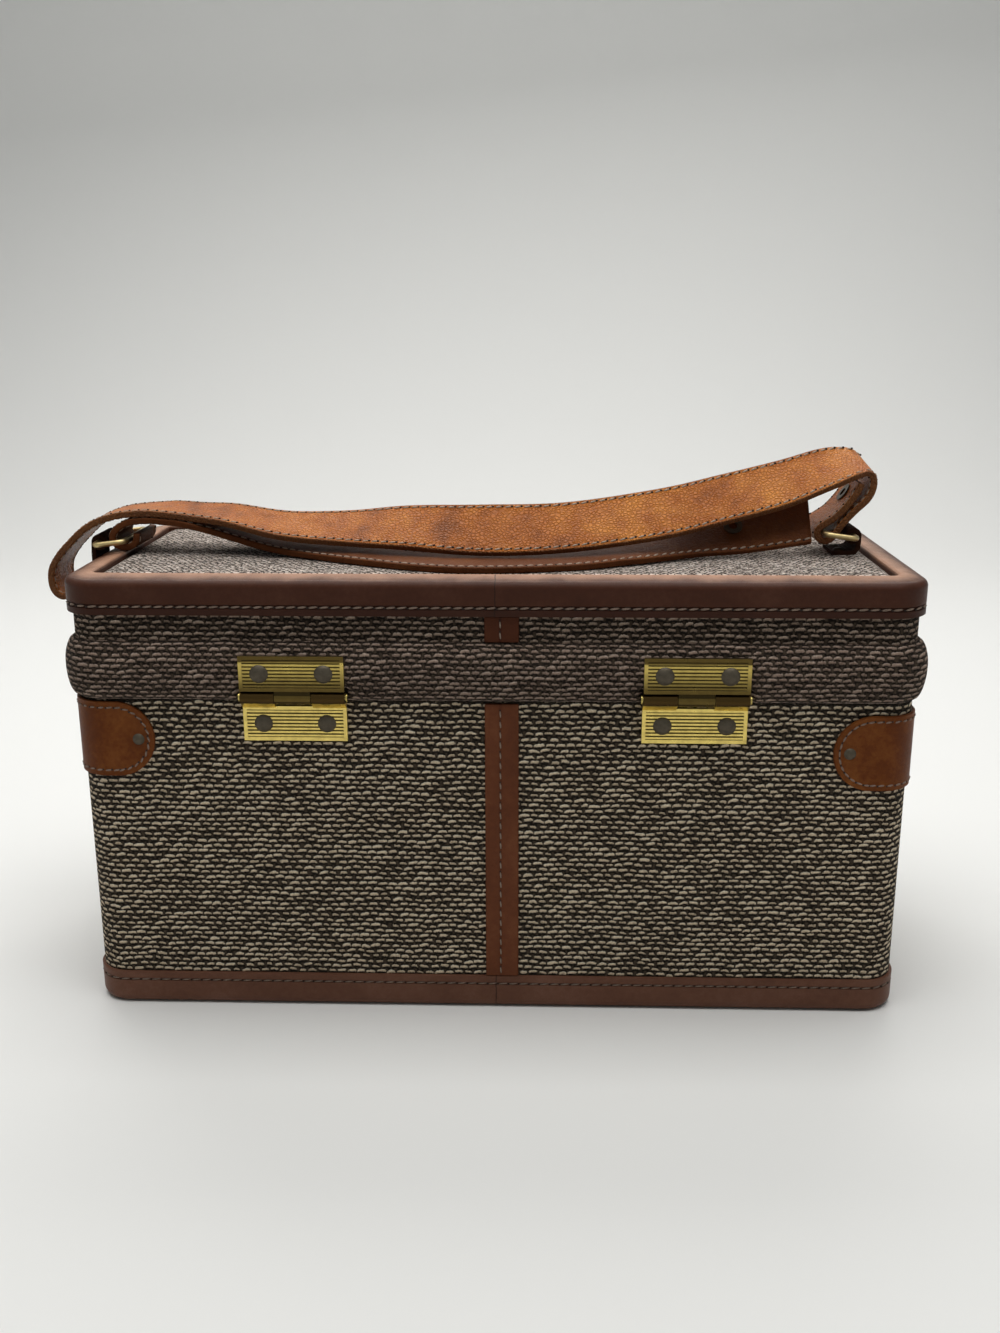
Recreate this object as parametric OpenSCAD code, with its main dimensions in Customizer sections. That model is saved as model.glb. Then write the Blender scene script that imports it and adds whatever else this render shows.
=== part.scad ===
// Cosmetic train case: hard tweed case with a hinged lid, leather bindings and a doubled shoulder strap.
// Origin: centre of the underside. +Z is up, the lock is at -Y and the hinges are at +Y.

/* [Case] */
// Width over the lid's leather binding
case_w = 370; // [320:1:420]
// Depth over the lid's leather binding
case_d = 148; // [132:1:190]
// Height of the base, from its underside to the parting line
base_h = 146.3; // [130:0.1:180]
// Height of the lid, from the parting line to the outer edge of its top binding
lid_h = 52.9; // [48:0.1:70]
// Radius of the tweed walls' upright corners
wall_r = 14; // [12:0.5:20]

/* [Shells] */
// Thickness of the wooden shells
wood_t = 5; // [4:0.25:6]
// Thickness of the tweed
tweed_t = 0.8; // [0.6:0.1:1]
// Thickness of the linings
lining_t = 0.8; // [0.6:0.1:1.2]
// Height of the lip that stands up inside the lid
lip_rise = 4.6; // [3:0.1:5]
// Thickness of the lip
lip_t = 2.4; // [2:0.1:3]

/* [Leather] */
// How far the lid's binding stands out from the tweed wall
trim_proud = 2.4; // [2:0.1:3]
// Height of the lid's binding
trim_h = 14.8; // [13:0.1:16]
// Width of the lid's binding on the top
trim_w = 12.7; // [11:0.1:15]
// How far the base's binding stands out from the tweed wall
foot_proud = 1.3; // [1:0.1:2]
// Height of the base's binding
foot_h = 15.8; // [14:0.1:18]
// How far the padded band stands out from the tweed wall
band_proud = 5.1; // [4.5:0.1:6]
// Height of the padded band
band_h = 26.3; // [25:0.1:28]
// Width of the centre strips
strip_w = 14.7; // [12:0.1:20]
// Thickness of the centre strips
strip_t = 1.2; // [1:0.1:1.6]
// Place of the centre strips across the case
strip_x = -4.3; // [-6:0.1:6]
// Height of the corner bands
patch_h = 34; // [30:0.5:38]
// Length of a corner band's tab, from the wall's corner plane to its round tip
patch_l = 35.5; // [32:0.5:45]
// Thickness of the corner bands
patch_t = 1.6; // [1.2:0.1:2]
// Gap between the left corner band and the parting line
patch_drop = 0.6; // [0.4:0.1:4]
// How much lower the right corner band sits than the left one
patch_step = 4.3; // [0:0.1:6]

/* [Hinges] */
// Distance of each hinge from the middle of the case
hinge_x = 86; // [70:1:110]
// Offset of the two hinges' middle across the case
hinge_mid = -1; // [-4:0.1:4]
// Width of a hinge leaf
leaf_w = 45; // [40:0.5:52]
// Height of a hinge leaf
leaf_h = 15.6; // [15:0.1:17]
// Thickness of a hinge leaf
leaf_t = 1.2; // [1:0.1:1.4]
// Outer diameter of the knuckles
knuckle_d = 6; // [5.6:0.1:6.4]
// Diameter of the hinge pin
pin_d = 2.4; // [2:0.1:2.8]
// Distance between the two rivets of a leaf
rivet_gap = 27.5; // [24:0.5:30]
// Diameter of a hinge rivet's head
rivet_d = 8; // [7:0.1:8.6]

/* [Lock] */
// Width of the lock plate
lock_w = 46; // [42:1:56]
// Height of the lock plate
lock_h = 34; // [32:1:40]
// Width of the hasp
hasp_w = 24; // [20:0.5:26]
// Travel of the bolt
bolt_travel = 5.5; // [5:0.1:6]

/* [Strap] */
// Width of the strap
strap_w = 28; // [24:0.5:30]
// Thickness of the strap
strap_t = 3; // [2.6:0.1:3]
// Diameter of the rings' wire
ring_d = 2.6; // [2.2:0.1:2.6]
// Distance between a ring's two long bars
ring_pitch = 14; // [13:0.1:15]
// Length of a ring between its two short bars
ring_l = 36.6; // [35:0.1:40]
// Width of the leather chapes
chape_w = 20; // [16:0.5:22]
// Thickness of the leather chapes
chape_t = 2.2; // [1.8:0.1:2.4]

/* [Hidden] */

$fn = 64;
// Colours
tweed = [0.42, 0.37, 0.32];
trim_brown = [0.35, 0.22, 0.18];
strip_brown = [0.38, 0.18, 0.09];
patch_brown = [0.50, 0.28, 0.13];
tan = [0.75, 0.47, 0.22];
brass = [0.85, 0.74, 0.38];
dark_metal = [0.30, 0.26, 0.22];
wood = [0.70, 0.58, 0.42];
lining = [0.62, 0.52, 0.42];
silver = [0.80, 0.83, 0.86];
// Gap between glued layers, and round a rivet's shank
glue = 0.1;
// Running clearance of the pins
run = 0.05;
// Free gap between pieces that move past each other
gap = 0.3;
// Gap between the lid and the base
parting = 0.3;

// Tweed wall planes
wall_x = case_w/2 - trim_proud;
wall_y = case_d/2 - trim_proud;
// Outer planes of the padded band
band_x = wall_x + band_proud;
band_y = wall_y + band_proud;
// Levels
lid_z = base_h + parting;
band_top = lid_z + band_h;
trim_top = base_h + lid_h;
trim_bottom = trim_top - trim_h;
wood_skin = tweed_t + glue;
wood_top = trim_top - 2;
floor_z = 1.6;
inner = wood_skin + wood_t;
lip_top = base_h + lip_rise;
lip_h = 13;
lip_gap = 0.6;
rim_t = 1;
// Hinge axis
knuckle_r = knuckle_d/2;
hinge_y = wall_y + 0.9 + knuckle_r;
hinge_z = lid_z + knuckle_r - 0.6;
leaf_lid_z = hinge_z + knuckle_r + 0.3;
leaf_base_z = base_h - 2;
rivet_lid_z = leaf_lid_z + leaf_h/2;
rivet_base_z = leaf_base_z - leaf_h/2;
shank_d = 3;
// Lock
lock_top = base_h - 3;
case_front = -wall_y - strip_t - 7.4;
hasp_axis_y = -band_y - 1.3;
hasp_axis_z = lid_z + 5;
hasp_pin_d = 1.6;
hasp_knuckle_d = 3.8;
bolt_z = lock_top - 9;
bore_l = 60;
// Rings: middle of the outer bar, and the ring's lean towards the case's middle
ring_left_x = wall_x + 3.3;
ring_left_z = trim_top + 4.9;
ring_left_a = 7;
ring_right_x = -wall_x + 18.4;
ring_right_z = trim_top + 9;
ring_right_a = 8.2;
loop_r = ring_d/2 + 0.2;

// Plan shapes. A rounded rectangle, given by its half sizes
module plan(hx, hy, r) {
  square([2*hx, 2*(hy - r)], center = true);
  square([2*(hx - r), 2*hy], center = true);
  for (sx = [-1, 1], sy = [-1, 1]) translate([sx*(hx - r), sy*(hy - r)]) circle(r);
}

// Plan of the case, set in from the tweed wall by d
module wall_plan(d) { plan(wall_x - d, wall_y - d, wall_r - d); }

// An upright wall between two depths behind the tweed's face
module wall_ring(d_out, d_in, z0, z1) {
  translate([0, 0, z0]) linear_extrude(z1 - z0) difference() {
    wall_plan(d_out);
    wall_plan(d_in);
  }
}

// Sweep of a section round the tweed wall: x is the distance out from the wall, y is the height
module round_wall() {
  for (a = [0:3]) {
    sx = (a == 0 || a == 3) ? 1 : -1;
    sy = (a < 2) ? 1 : -1;
    translate([sx*(wall_x - wall_r), sy*(wall_y - wall_r), 0]) rotate(a*90)
      rotate_extrude(angle = 90) translate([wall_r, 0]) children();
  }
  for (s = [-1, 1]) {
    translate([s*wall_x, 0, 0]) rotate([90, 0, s > 0 ? 0 : 180])
      linear_extrude(2*(wall_y - wall_r), center = true) children();
    translate([0, s*wall_y, 0]) rotate([90, 0, s > 0 ? 90 : -90])
      linear_extrude(2*(wall_x - wall_r), center = true) children();
  }
}

// A box between two corners
module block(a, b) { translate(a) cube(b - a); }

// A rod along Y, centred
module rod_y(d, l) { rotate([90, 0, 0]) cylinder(d = d, h = l, center = true); }

// A rod along X, centred
module rod_x(d, l) { rotate([0, 90, 0]) cylinder(d = d, h = l, center = true); }

// Places of the four rivets of the leaves on one body
module at_leaf_rivets(z) {
  for (h = [-1, 1], s = [-1, 1]) translate([hinge_mid + h*hinge_x + s*rivet_gap/2, 0, z]) children();
}

// A rivet pointing along +Y from the face y: domed head outside, shank inwards
module rivet(face_y, head_d, shank_l) {
  head_h = head_d*0.22;
  ball_r = (head_d*head_d/4 + head_h*head_h)/(2*head_h);
  intersection() {
    translate([0, face_y + head_h - ball_r, 0]) sphere(ball_r);
    translate([0, face_y + head_h/2, 0]) rod_y(head_d, head_h);
  }
  translate([0, face_y - shank_l/2 + 0.01, 0]) rod_y(shank_d, shank_l + 0.02);
}

// Hole for a rivet's shank through the back wall
module shank_hole(face_y, l) { translate([0, face_y - l/2 + 1, 0]) rod_y(shank_d + 2*glue, l + 2); }

// Ribbon of even thickness along a line of points, in the plane
function unit(v) = v/norm(v);
function across(p, i) =
  let (a = p[max(i - 1, 0)], b = p[min(i + 1, len(p) - 1)], t = unit(b - a)) [-t[1], t[0]];
module ribbon(p, t) {
  polygon(concat(
    [for (i = [0:len(p) - 1]) p[i] + across(p, i)*t/2],
    [for (i = [len(p) - 1:-1:0]) p[i] - across(p, i)*t/2]));
}

// Base

module base_box() {
  color(wood) difference() {
    translate([0, 0, floor_z]) linear_extrude(base_h - rim_t - glue - floor_z) wall_plan(wood_skin);
    translate([0, 0, floor_z + wood_t]) linear_extrude(base_h) wall_plan(inner);
    at_leaf_rivets(rivet_base_z) shank_hole(wall_y, 5);
    at_patch_rivets() shank_hole(0, 5);
    at_lock_rivets() rotate(180) shank_hole(wall_y, 5);
  }
}

module base_cover() {
  color(tweed) difference() {
    wall_ring(0, tweed_t, foot_h + glue, base_h);
    at_leaf_rivets(rivet_base_z) shank_hole(wall_y, 5);
    at_patch_rivets() shank_hole(0, 5);
    at_lock_rivets() rotate(180) shank_hole(wall_y, 5);
  }
}

foot_in = 14;
foot_lip = 1.5;
foot_r = 4;
module foot_section() {
  difference() {
    union() {
      translate([-foot_in, 0]) square([foot_in + foot_proud - foot_r, foot_h]);
      translate([-foot_in, foot_r]) square([foot_in + foot_proud, foot_h - foot_r]);
      translate([foot_proud - foot_r, foot_r]) circle(foot_r);
    }
    translate([-foot_in - 1, foot_lip]) square([foot_in + 1 - wood_skin + glue, foot_h]);
    translate([foot_proud, foot_h - 3.8]) circle(0.7);
  }
}

module base_trim() { color(trim_brown) round_wall() foot_section(); }

module bottom_panel() {
  color(lining) linear_extrude(foot_lip) wall_plan(foot_in + glue);
}

module base_rim() { color(trim_brown) wall_ring(wood_skin, inner, base_h - rim_t, base_h); }

lip_z = lip_top - lip_h;
module base_lip() {
  color(trim_brown) {
    wall_ring(inner + glue, inner + lip_gap + lip_t, lip_z, base_h - 1);
    wall_ring(inner + lip_gap, inner + lip_gap + lip_t, lip_z, lip_top);
  }
}

module base_lining() {
  color(lining) difference() {
    translate([0, 0, floor_z + wood_t + glue]) linear_extrude(lip_z - glue - floor_z - wood_t - glue)
      wall_plan(inner + glue);
    translate([0, 0, floor_z + wood_t + glue + lining_t]) linear_extrude(base_h)
      wall_plan(inner + glue + lining_t);
  }
}

// Gathered pocket on the back wall's inside, one folded outline
pocket_w = 250;
pocket_h = 82;
pocket_t = 7;
module base_pocket() {
  y_back = wall_y - inner - 2*glue - lining_t;
  folds = 12;
  step = pocket_w/folds;
  fold = [[0, 1.4], [step*0.3, 0.3], [step/2, 0], [step*0.7, 0.3]];
  color(lining) translate([0, y_back, floor_z + wood_t + lining_t + 3]) linear_extrude(pocket_h)
    translate([-pocket_w/2, -pocket_t]) polygon(concat(
      [for (i = [0:folds - 1]) each [for (f = fold) f + [i*step, 0]]],
      [[pocket_w, 1.4], [pocket_w, pocket_t], [0, pocket_t]]));
}

module back_strip_base() {
  color(strip_brown) block([strip_x - strip_w/2, wall_y, foot_h + glue],
                           [strip_x + strip_w/2, wall_y + strip_t, base_h - 0.6]);
}

module front_strip_base() {
  color(strip_brown) block([strip_x - strip_w/2, -wall_y - strip_t, foot_h + glue],
                           [strip_x + strip_w/2, -wall_y, lock_top - lock_h - glue]);
}

patch_round = patch_h/2;
function patch_z(side) = base_h - patch_drop - patch_h/2 - (side < 0 ? patch_step : 0);
module side_band(side) {
  z = patch_z(side);
  color(patch_brown) difference() {
    intersection() {
      wall_ring(-patch_t, -glue, z - patch_h/2, z + patch_h/2);
      translate([0, 0, z]) rotate([90, 0, 0]) linear_extrude(case_d + 40, center = true) {
        translate([side*(wall_x - patch_l + patch_round), 0]) circle(patch_round);
        translate([side*(wall_x + 10 + (patch_round - patch_l)/2 - 5), 0])
          square([patch_l - patch_round + 10, patch_h], center = true);
      }
    }
    at_patch_rivets() shank_hole(0, 5);
  }
}
module side_band_left() { side_band(1); }
module side_band_right() { side_band(-1); }

patch_rivet_x = wall_x - patch_l + 7;
module at_patch_rivets() {
  for (sx = [-1, 1], a = [0, 180])
    rotate(a) translate([sx*patch_rivet_x, wall_y + patch_t, patch_z(a == 0 ? sx : -sx)]) children();
}
module patch_rivets() { color(dark_metal) at_patch_rivets() rivet(0, 5.2, 4.4); }

// Hinges

knuckle_gap = 0.25;
knuckle_mid = 15.5;
module leaf_shape(z0, y0) {
  difference() {
    union() {
      block([-leaf_w/2, y0, z0], [leaf_w/2, y0 + leaf_t, z0 + leaf_h]);
      children();
    }
    for (x = [-1, 1]) translate([x*rivet_gap/2, y0, z0 + leaf_h/2]) rod_y(shank_d + 2*glue, 10);
    translate([0, hinge_y, hinge_z]) rod_x(pin_d + 2*run, leaf_w + 1);
  }
}

leaf_rim = 1.6;
leaf_rib = 0.45;
module leaf_ribs(z0, y0) {
  n = 8;
  pitch = (leaf_h - 2*leaf_rim)/n;
  difference() {
    block([-leaf_w/2, y0, z0], [leaf_w/2, y0 + leaf_rib, z0 + leaf_h]);
    block([-leaf_w/2 + leaf_rim, y0 - 1, z0 + leaf_rim],
          [leaf_w/2 - leaf_rim, y0 + 1, z0 + leaf_h - leaf_rim]);
  }
  for (i = [0:n - 1]) translate([0, 0, z0 + leaf_rim + i*pitch])
    block([-leaf_w/2 + leaf_rim, y0, pitch*0.2], [leaf_w/2 - leaf_rim, y0 + leaf_rib*0.8, pitch*0.75]);
}

module leaf_lid() {
  y0 = band_y + glue;
  color(brass) leaf_shape(leaf_lid_z, y0) {
    leaf_ribs(leaf_lid_z, y0 + leaf_t);
    translate([0, hinge_y, hinge_z]) rod_x(knuckle_d, knuckle_mid);
    block([-knuckle_mid/2, y0, hinge_z], [knuckle_mid/2, y0 + leaf_t, leaf_lid_z + 1]);
  }
}
module hinge_leaf_lid_left() { translate([hinge_mid + hinge_x, 0, 0]) leaf_lid(); }
module hinge_leaf_lid_right() { translate([hinge_mid - hinge_x, 0, 0]) leaf_lid(); }

module leaf_base() {
  y0 = wall_y + glue;
  z0 = leaf_base_z - leaf_h;
  side = (leaf_w - knuckle_mid)/2 - knuckle_gap;
  color(brass) leaf_shape(z0, y0) {
    leaf_ribs(z0, y0 + leaf_t);
    for (s = [-1, 1]) translate([s*(knuckle_mid/2 + knuckle_gap + side/2), 0, 0]) {
      translate([0, hinge_y, hinge_z]) rod_x(knuckle_d, side);
      rotate([90, 0, 90]) linear_extrude(side, center = true) polygon([
        [y0, leaf_base_z - 1], [y0 + leaf_t, leaf_base_z - 1], [hinge_y + 1.5, hinge_z - knuckle_r + 0.4],
        [hinge_y, hinge_z], [hinge_y - knuckle_r + 0.6, hinge_z - 1.2], [y0, leaf_base_z + 0.6]]);
    }
  }
}
module hinge_leaf_base_left() { translate([hinge_mid + hinge_x, 0, 0]) leaf_base(); }
module hinge_leaf_base_right() { translate([hinge_mid - hinge_x, 0, 0]) leaf_base(); }

module hinge_pins() {
  color(brass) for (s = [-1, 1]) translate([hinge_mid + s*hinge_x, hinge_y, hinge_z]) {
    rod_x(pin_d, leaf_w + 0.6);
    for (e = [-1, 1]) translate([e*(leaf_w/2 + 0.6), 0, 0]) rod_x(pin_d + 1.6, 0.6);
  }
}

module hinge_rivets_lid() {
  color(dark_metal) at_leaf_rivets(rivet_lid_z) rivet(band_y + glue + leaf_t + leaf_rib, rivet_d, 8);
}
module hinge_rivets_base() {
  color(dark_metal) at_leaf_rivets(rivet_base_z) rivet(wall_y + glue + leaf_t + leaf_rib, rivet_d, 4.4);
}

// Lock on the front

lock_rivet_x = lock_w/2 - 4;
module at_lock_rivets() {
  for (s = [-1, 1], z = [lock_top - 4, lock_top - lock_h + 4]) translate([s*lock_rivet_x, 0, z]) children();
}
lock_face = -wall_y - strip_t;
module lock_plate() {
  color(brass) difference() {
    block([-lock_w/2, lock_face, lock_top - lock_h], [lock_w/2, -wall_y - glue, lock_top]);
    at_lock_rivets() rotate(180) shank_hole(wall_y + 2, 6);
  }
}

// Housing on the plate: a notch open to the top and front for the staple, a bolt channel, a key bore
lock_case_w = 34;
staple_w = 8;
staple_z = bolt_z;
bolt_d = 3;
bolt_rest = staple_w/2 + gap + 0.7;
channel_r = bolt_d/2 + run;
key_d = 7;
key_z = lock_top - lock_h + 11;
bolt_y = -wall_y - strip_t - 3.6;
module lock_case() {
  color(brass) difference() {
    block([-lock_case_w/2, case_front, lock_top - lock_h + 4], [lock_case_w/2, lock_face - 0.02, lock_top]);
    block([-staple_w/2 - gap - 0.3, case_front - 1, staple_z - 3.6],
          [staple_w/2 + gap + 0.3, bolt_y + 2.6, lock_top + 1]);
    translate([-lock_case_w/2, bolt_y, bolt_z]) rod_x(2*channel_r, 2*(lock_case_w - 2));
    block([-lock_case_w/2 + 3, case_front - 1, bolt_z - 1.3 - run],
          [-lock_case_w/2 + 3 + 2.6 + bolt_travel + 2*run, bolt_y, bolt_z + 1.3 + run]);
    translate([0, case_front, key_z]) rod_y(key_d + 2*run, 10);
  }
}
module lock_rivets() { color(dark_metal) at_lock_rivets() rotate(180) rivet(wall_y + strip_t, 3.8, 4.4); }

knob_x = -lock_case_w/2 + 3 + run;
module lock_bolt() {
  color(brass) {
    translate([-bolt_rest - 5, bolt_y, bolt_z]) rod_x(bolt_d, 10);
    block([knob_x, case_front - 1, bolt_z - 1.3], [knob_x + 2.6, bolt_y, bolt_z + 1.3]);
    block([knob_x - 1.4, case_front - 2.4, bolt_z - 3], [knob_x + 3, case_front - gap, bolt_z + 3]);
  }
}

module key_cylinder() {
  color(brass) difference() {
    translate([0, case_front + 1.9, key_z]) rod_y(key_d, 5.4);
    block([-0.6, case_front - 2, key_z - 2.4], [0.6, case_front + 2, key_z + 2.4]);
  }
}

hasp_plate_z = hasp_axis_z + 2.6;
hasp_plate_h = 17;
hasp_side = (hasp_w - 8)/2 - knuckle_gap;
module at_hasp_rivets() {
  for (s = [-1, 1]) translate([s*(hasp_w/2 - 4), 0, hasp_plate_z + hasp_plate_h - 5]) children();
}
module hasp_plate() {
  y0 = -band_y - glue;
  color(brass) difference() {
    union() {
      block([-hasp_w/2, y0 - leaf_t, hasp_plate_z], [hasp_w/2, y0, hasp_plate_z + hasp_plate_h]);
      for (s = [-1, 1]) translate([s*(4 + knuckle_gap + hasp_side/2), hasp_axis_y, hasp_axis_z]) {
        rod_x(hasp_knuckle_d, hasp_side);
        translate([0, 0, 1.8]) cube([hasp_side, 1.2, 3.6], center = true);
      }
    }
    translate([0, hasp_axis_y, hasp_axis_z]) rod_x(hasp_pin_d + 2*run, bore_l);
    at_hasp_rivets() translate([0, y0, 0]) rod_y(shank_d + 2*glue, 10);
  }
}
module hasp_rivets() {
  color(dark_metal) at_hasp_rivets() rotate(180) rivet(band_y + glue + leaf_t, 5.2, 8);
}
module hasp_pin() {
  color(brass) translate([0, hasp_axis_y, hasp_axis_z]) {
    rod_x(hasp_pin_d, hasp_w + 0.6);
    for (e = [-1, 1]) translate([e*(hasp_w/2 + 0.5), 0, 0]) rod_x(hasp_pin_d + 1, 0.5);
  }
}

hasp_back = case_front - 3.2;
module hasp() {
  color(brass) difference() {
    union() {
      translate([0, hasp_axis_y, hasp_axis_z]) rod_x(hasp_knuckle_d, 8);
      rotate([90, 0, 90]) linear_extrude(8, center = true) polygon([
        [hasp_axis_y - 1.9, hasp_axis_z], [hasp_axis_y, hasp_axis_z - 1.8],
        [hasp_back + 1.2, lock_top + 1.6], [hasp_back, lock_top + 1.6]]);
      block([-5, hasp_back, bolt_z - 4], [5, hasp_back + 1.2, lock_top + 2]);
      block([-staple_w/2, hasp_back, staple_z - 2.8], [staple_w/2, bolt_y + 2.2, staple_z + 2.8]);
    }
    translate([0, hasp_axis_y, hasp_axis_z]) rod_x(hasp_pin_d + 2*run, bore_l);
    translate([0, bolt_y, bolt_z]) rod_x(bolt_d + 0.5, bore_l);
  }
}

// Lid

module lid_box() {
  color(wood) difference() {
    translate([0, 0, lid_z]) linear_extrude(wood_top - lid_z) wall_plan(wood_skin);
    translate([0, 0, lid_z - 1]) linear_extrude(wood_top - wood_t - lid_z + 1) wall_plan(inner);
    at_leaf_rivets(rivet_lid_z) shank_hole(band_y, 10.5);
    at_hasp_rivets() rotate(180) shank_hole(band_y, 10.5);
    at_side_rivets() chape_hole();
    at_top_rivets() chape_hole();
  }
}

module lid_cover() {
  color(tweed) difference() {
    wall_ring(0, tweed_t, lid_z, trim_bottom - glue);
    at_leaf_rivets(rivet_lid_z) shank_hole(band_y, 10.5);
    at_hasp_rivets() rotate(180) shank_hole(band_y, 10.5);
    at_side_rivets() chape_hole();
  }
}

panel_t = 1.4;
panel_top = wood_top + glue + panel_t;
module lid_top_panel() {
  color(tweed) difference() {
    translate([0, 0, wood_top + glue]) linear_extrude(panel_t) wall_plan(trim_w - trim_proud + glue);
    at_top_rivets() chape_hole();
  }
}

// Section of the lid's binding: x from the tweed wall outwards, y is the height
module trim_section() {
  r = 3;
  x_in = trim_proud - trim_w;
  x_wood = -wood_skin + glue;
  difference() {
    union() {
      translate([x_wood, trim_bottom]) square([trim_proud - x_wood, trim_h - r]);
      translate([x_in, wood_top + glue]) square([trim_w - r, trim_top - wood_top - glue]);
      translate([trim_proud - r, trim_top - r]) circle(r);
      polygon([[trim_proud - r, trim_top - 0.01], [trim_proud - 5.5, trim_top + 0.55],
               [trim_proud - 9, trim_top + 1.1], [x_in + 1.6, trim_top + 1.3], [x_in + 0.4, trim_top + 0.9],
               [x_in, trim_top - 0.01]]);
    }
    // stitch groove
    translate([trim_proud + 0.35, trim_bottom + 3.7]) circle(1.1);
    // wood behind the upright leg
    translate([x_in - 1, trim_bottom - 1]) square([x_wood - x_in + 1, wood_top + glue - trim_bottom + 1]);
  }
}
module lid_trim() { color(trim_brown) round_wall() trim_section(); }

// Padded band with rounded edges, notched for the hinge knuckles
module band_section() {
  r = 4;
  translate([glue, 0]) square([band_proud - glue - r, band_h]);
  translate([glue, r]) square([band_proud - glue - 0.6, band_h - 2*r]);
  for (z = [r, band_h - r]) intersection() {
    translate([band_proud - r, z]) circle(r);
    translate([glue, 0]) square([band_proud - glue, band_h]);
  }
  polygon([[band_proud - 1, r], [band_proud, r], [band_proud, band_h - r], [band_proud - 1, band_h - r]]);
}
module lid_band() {
  color(tweed) difference() {
    translate([0, 0, lid_z]) round_wall() band_section();
    for (s = [-1, 1]) translate([hinge_mid + s*hinge_x, 0, 0])
      block([-leaf_w/2 - 1.2, wall_y - 1, lid_z - 1], [leaf_w/2 + 1.2, band_y + 1, hinge_z + knuckle_r + 0.6]);
    block([-hasp_w/2 - 1, -band_y - 1, lid_z - 1], [hasp_w/2 + 1, hasp_axis_y + 2.2, hasp_plate_z]);
    at_leaf_rivets(rivet_lid_z) shank_hole(band_y, 10.5);
    at_hasp_rivets() rotate(180) shank_hole(band_y, 10.5);
    at_side_rivets() chape_hole();
  }
}

lining_z = lip_top + 2;
lining_top = wood_top - wood_t - glue;
module lid_lining() {
  color(lining) difference() {
    translate([0, 0, lining_z]) linear_extrude(lining_top - lining_z) wall_plan(inner + glue);
    translate([0, 0, lining_z - 1]) linear_extrude(lining_top - lining_t - lining_z + 1)
      wall_plan(inner + glue + lining_t);
  }
}

mirror_x = 130;
mirror_y = 46;
mirror_t = 2.4;
frame_w = 8;
frame_top = lining_top - lining_t - glue;
module mirror_frame() {
  color(trim_brown) difference() {
    translate([0, 0, frame_top - mirror_t - 1.6]) linear_extrude(mirror_t + 1.6)
      plan(mirror_x + frame_w, mirror_y + frame_w, 12);
    translate([0, 0, frame_top - mirror_t - 0.2]) linear_extrude(20) plan(mirror_x, mirror_y, 8);
    translate([0, 0, frame_top - 30]) linear_extrude(40) plan(mirror_x - 3, mirror_y - 3, 6);
  }
}
module mirror() {
  color(silver) translate([0, 0, frame_top - mirror_t - 0.1]) linear_extrude(mirror_t)
    plan(mirror_x - glue, mirror_y - glue, 8 - glue);
}

module back_strip_lid() {
  color(strip_brown) block([strip_x - strip_w/2, wall_y, band_top + glue],
                           [strip_x + strip_w/2, wall_y + strip_t, trim_bottom - glue]);
}
module front_strip_lid() {
  color(strip_brown) block([strip_x - strip_w/2, -wall_y - strip_t, band_top + glue],
                           [strip_x + strip_w/2, -wall_y, trim_bottom - glue]);
}

// Chapes: leather tabs with a loop round each ring's outer bar. The left one is riveted over the band,
// the right one stands on the lid.

chape_x = band_x + glue + chape_t/2;
chape_foot = lid_z + 3.4;
chape_rivet_z = lid_z + 11;
chape_rivet_y = 5;
foot_z = panel_top + glue + chape_t/2;
foot_rivet_x = ring_right_x + 5.4;
module at_side_rivets() {
  for (y = [-1, 1]) translate([chape_x, y*chape_rivet_y, chape_rivet_z]) rotate([0, 90, 0]) children();
}
module at_top_rivets() {
  for (y = [-1, 1]) translate([foot_rivet_x, y*chape_rivet_y, foot_z]) children();
}
module chape_hole() { translate([0, 0, -12]) cylinder(d = shank_d + 2*glue, h = 14); }

module chape(points, loop_x, loop_z) {
  color(patch_brown) difference() {
    union() {
      rotate([90, 0, 0]) linear_extrude(chape_w, center = true) ribbon(points, chape_t);
      translate([loop_x, 0, loop_z]) rod_y(2*(loop_r + chape_t), chape_w);
    }
    translate([loop_x, 0, loop_z]) rod_y(2*loop_r, chape_w + 2);
    at_side_rivets() chape_hole();
    at_top_rivets() chape_hole();
  }
}
module chape_left() {
  chape([[chape_x, chape_foot], [chape_x, ring_left_z - 5], [ring_left_x + loop_r + chape_t/2, ring_left_z]],
        ring_left_x, ring_left_z);
}
module chape_right() {
  x = ring_right_x - loop_r - chape_t/2;
  chape([[ring_right_x + 9.4, foot_z], [x + 3.6, foot_z], [x + 1.6, foot_z + 0.7], [x + 0.3, foot_z + 2.4],
         [x, foot_z + 5], [x, ring_right_z]], ring_right_x, ring_right_z);
}
module chape_rivets() {
  color(dark_metal) {
    at_side_rivets() rotate([90, 0, 0]) rivet(chape_t/2, 5.2, 12);
    at_top_rivets() rotate([90, 0, 0]) rivet(chape_t/2, 5.2, 7);
  }
}

// Rings

module ring() {
  bend = 3;
  for (x = [0, -ring_pitch]) translate([x, 0, 0]) rod_y(ring_d, ring_l - 2*bend);
  for (s = [-1, 1]) {
    translate([-ring_pitch/2, s*ring_l/2, 0]) rod_x(ring_d, ring_pitch - 2*bend);
    translate([-bend, s*(ring_l/2 - bend), 0]) rotate(s > 0 ? 0 : -90)
      rotate_extrude(angle = 90) translate([bend, 0]) circle(d = ring_d);
    translate([bend - ring_pitch, s*(ring_l/2 - bend), 0]) rotate(s > 0 ? 90 : 180)
      rotate_extrude(angle = 90) translate([bend, 0]) circle(d = ring_d);
  }
}
module ring_left() {
  color(brass) translate([ring_left_x, 0, ring_left_z]) rotate([0, ring_left_a, 0]) ring();
}
module ring_right() {
  color(brass) translate([ring_right_x, 0, ring_right_z]) rotate([0, 0, 180])
    rotate([0, ring_right_a, 0]) ring();
}

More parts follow.
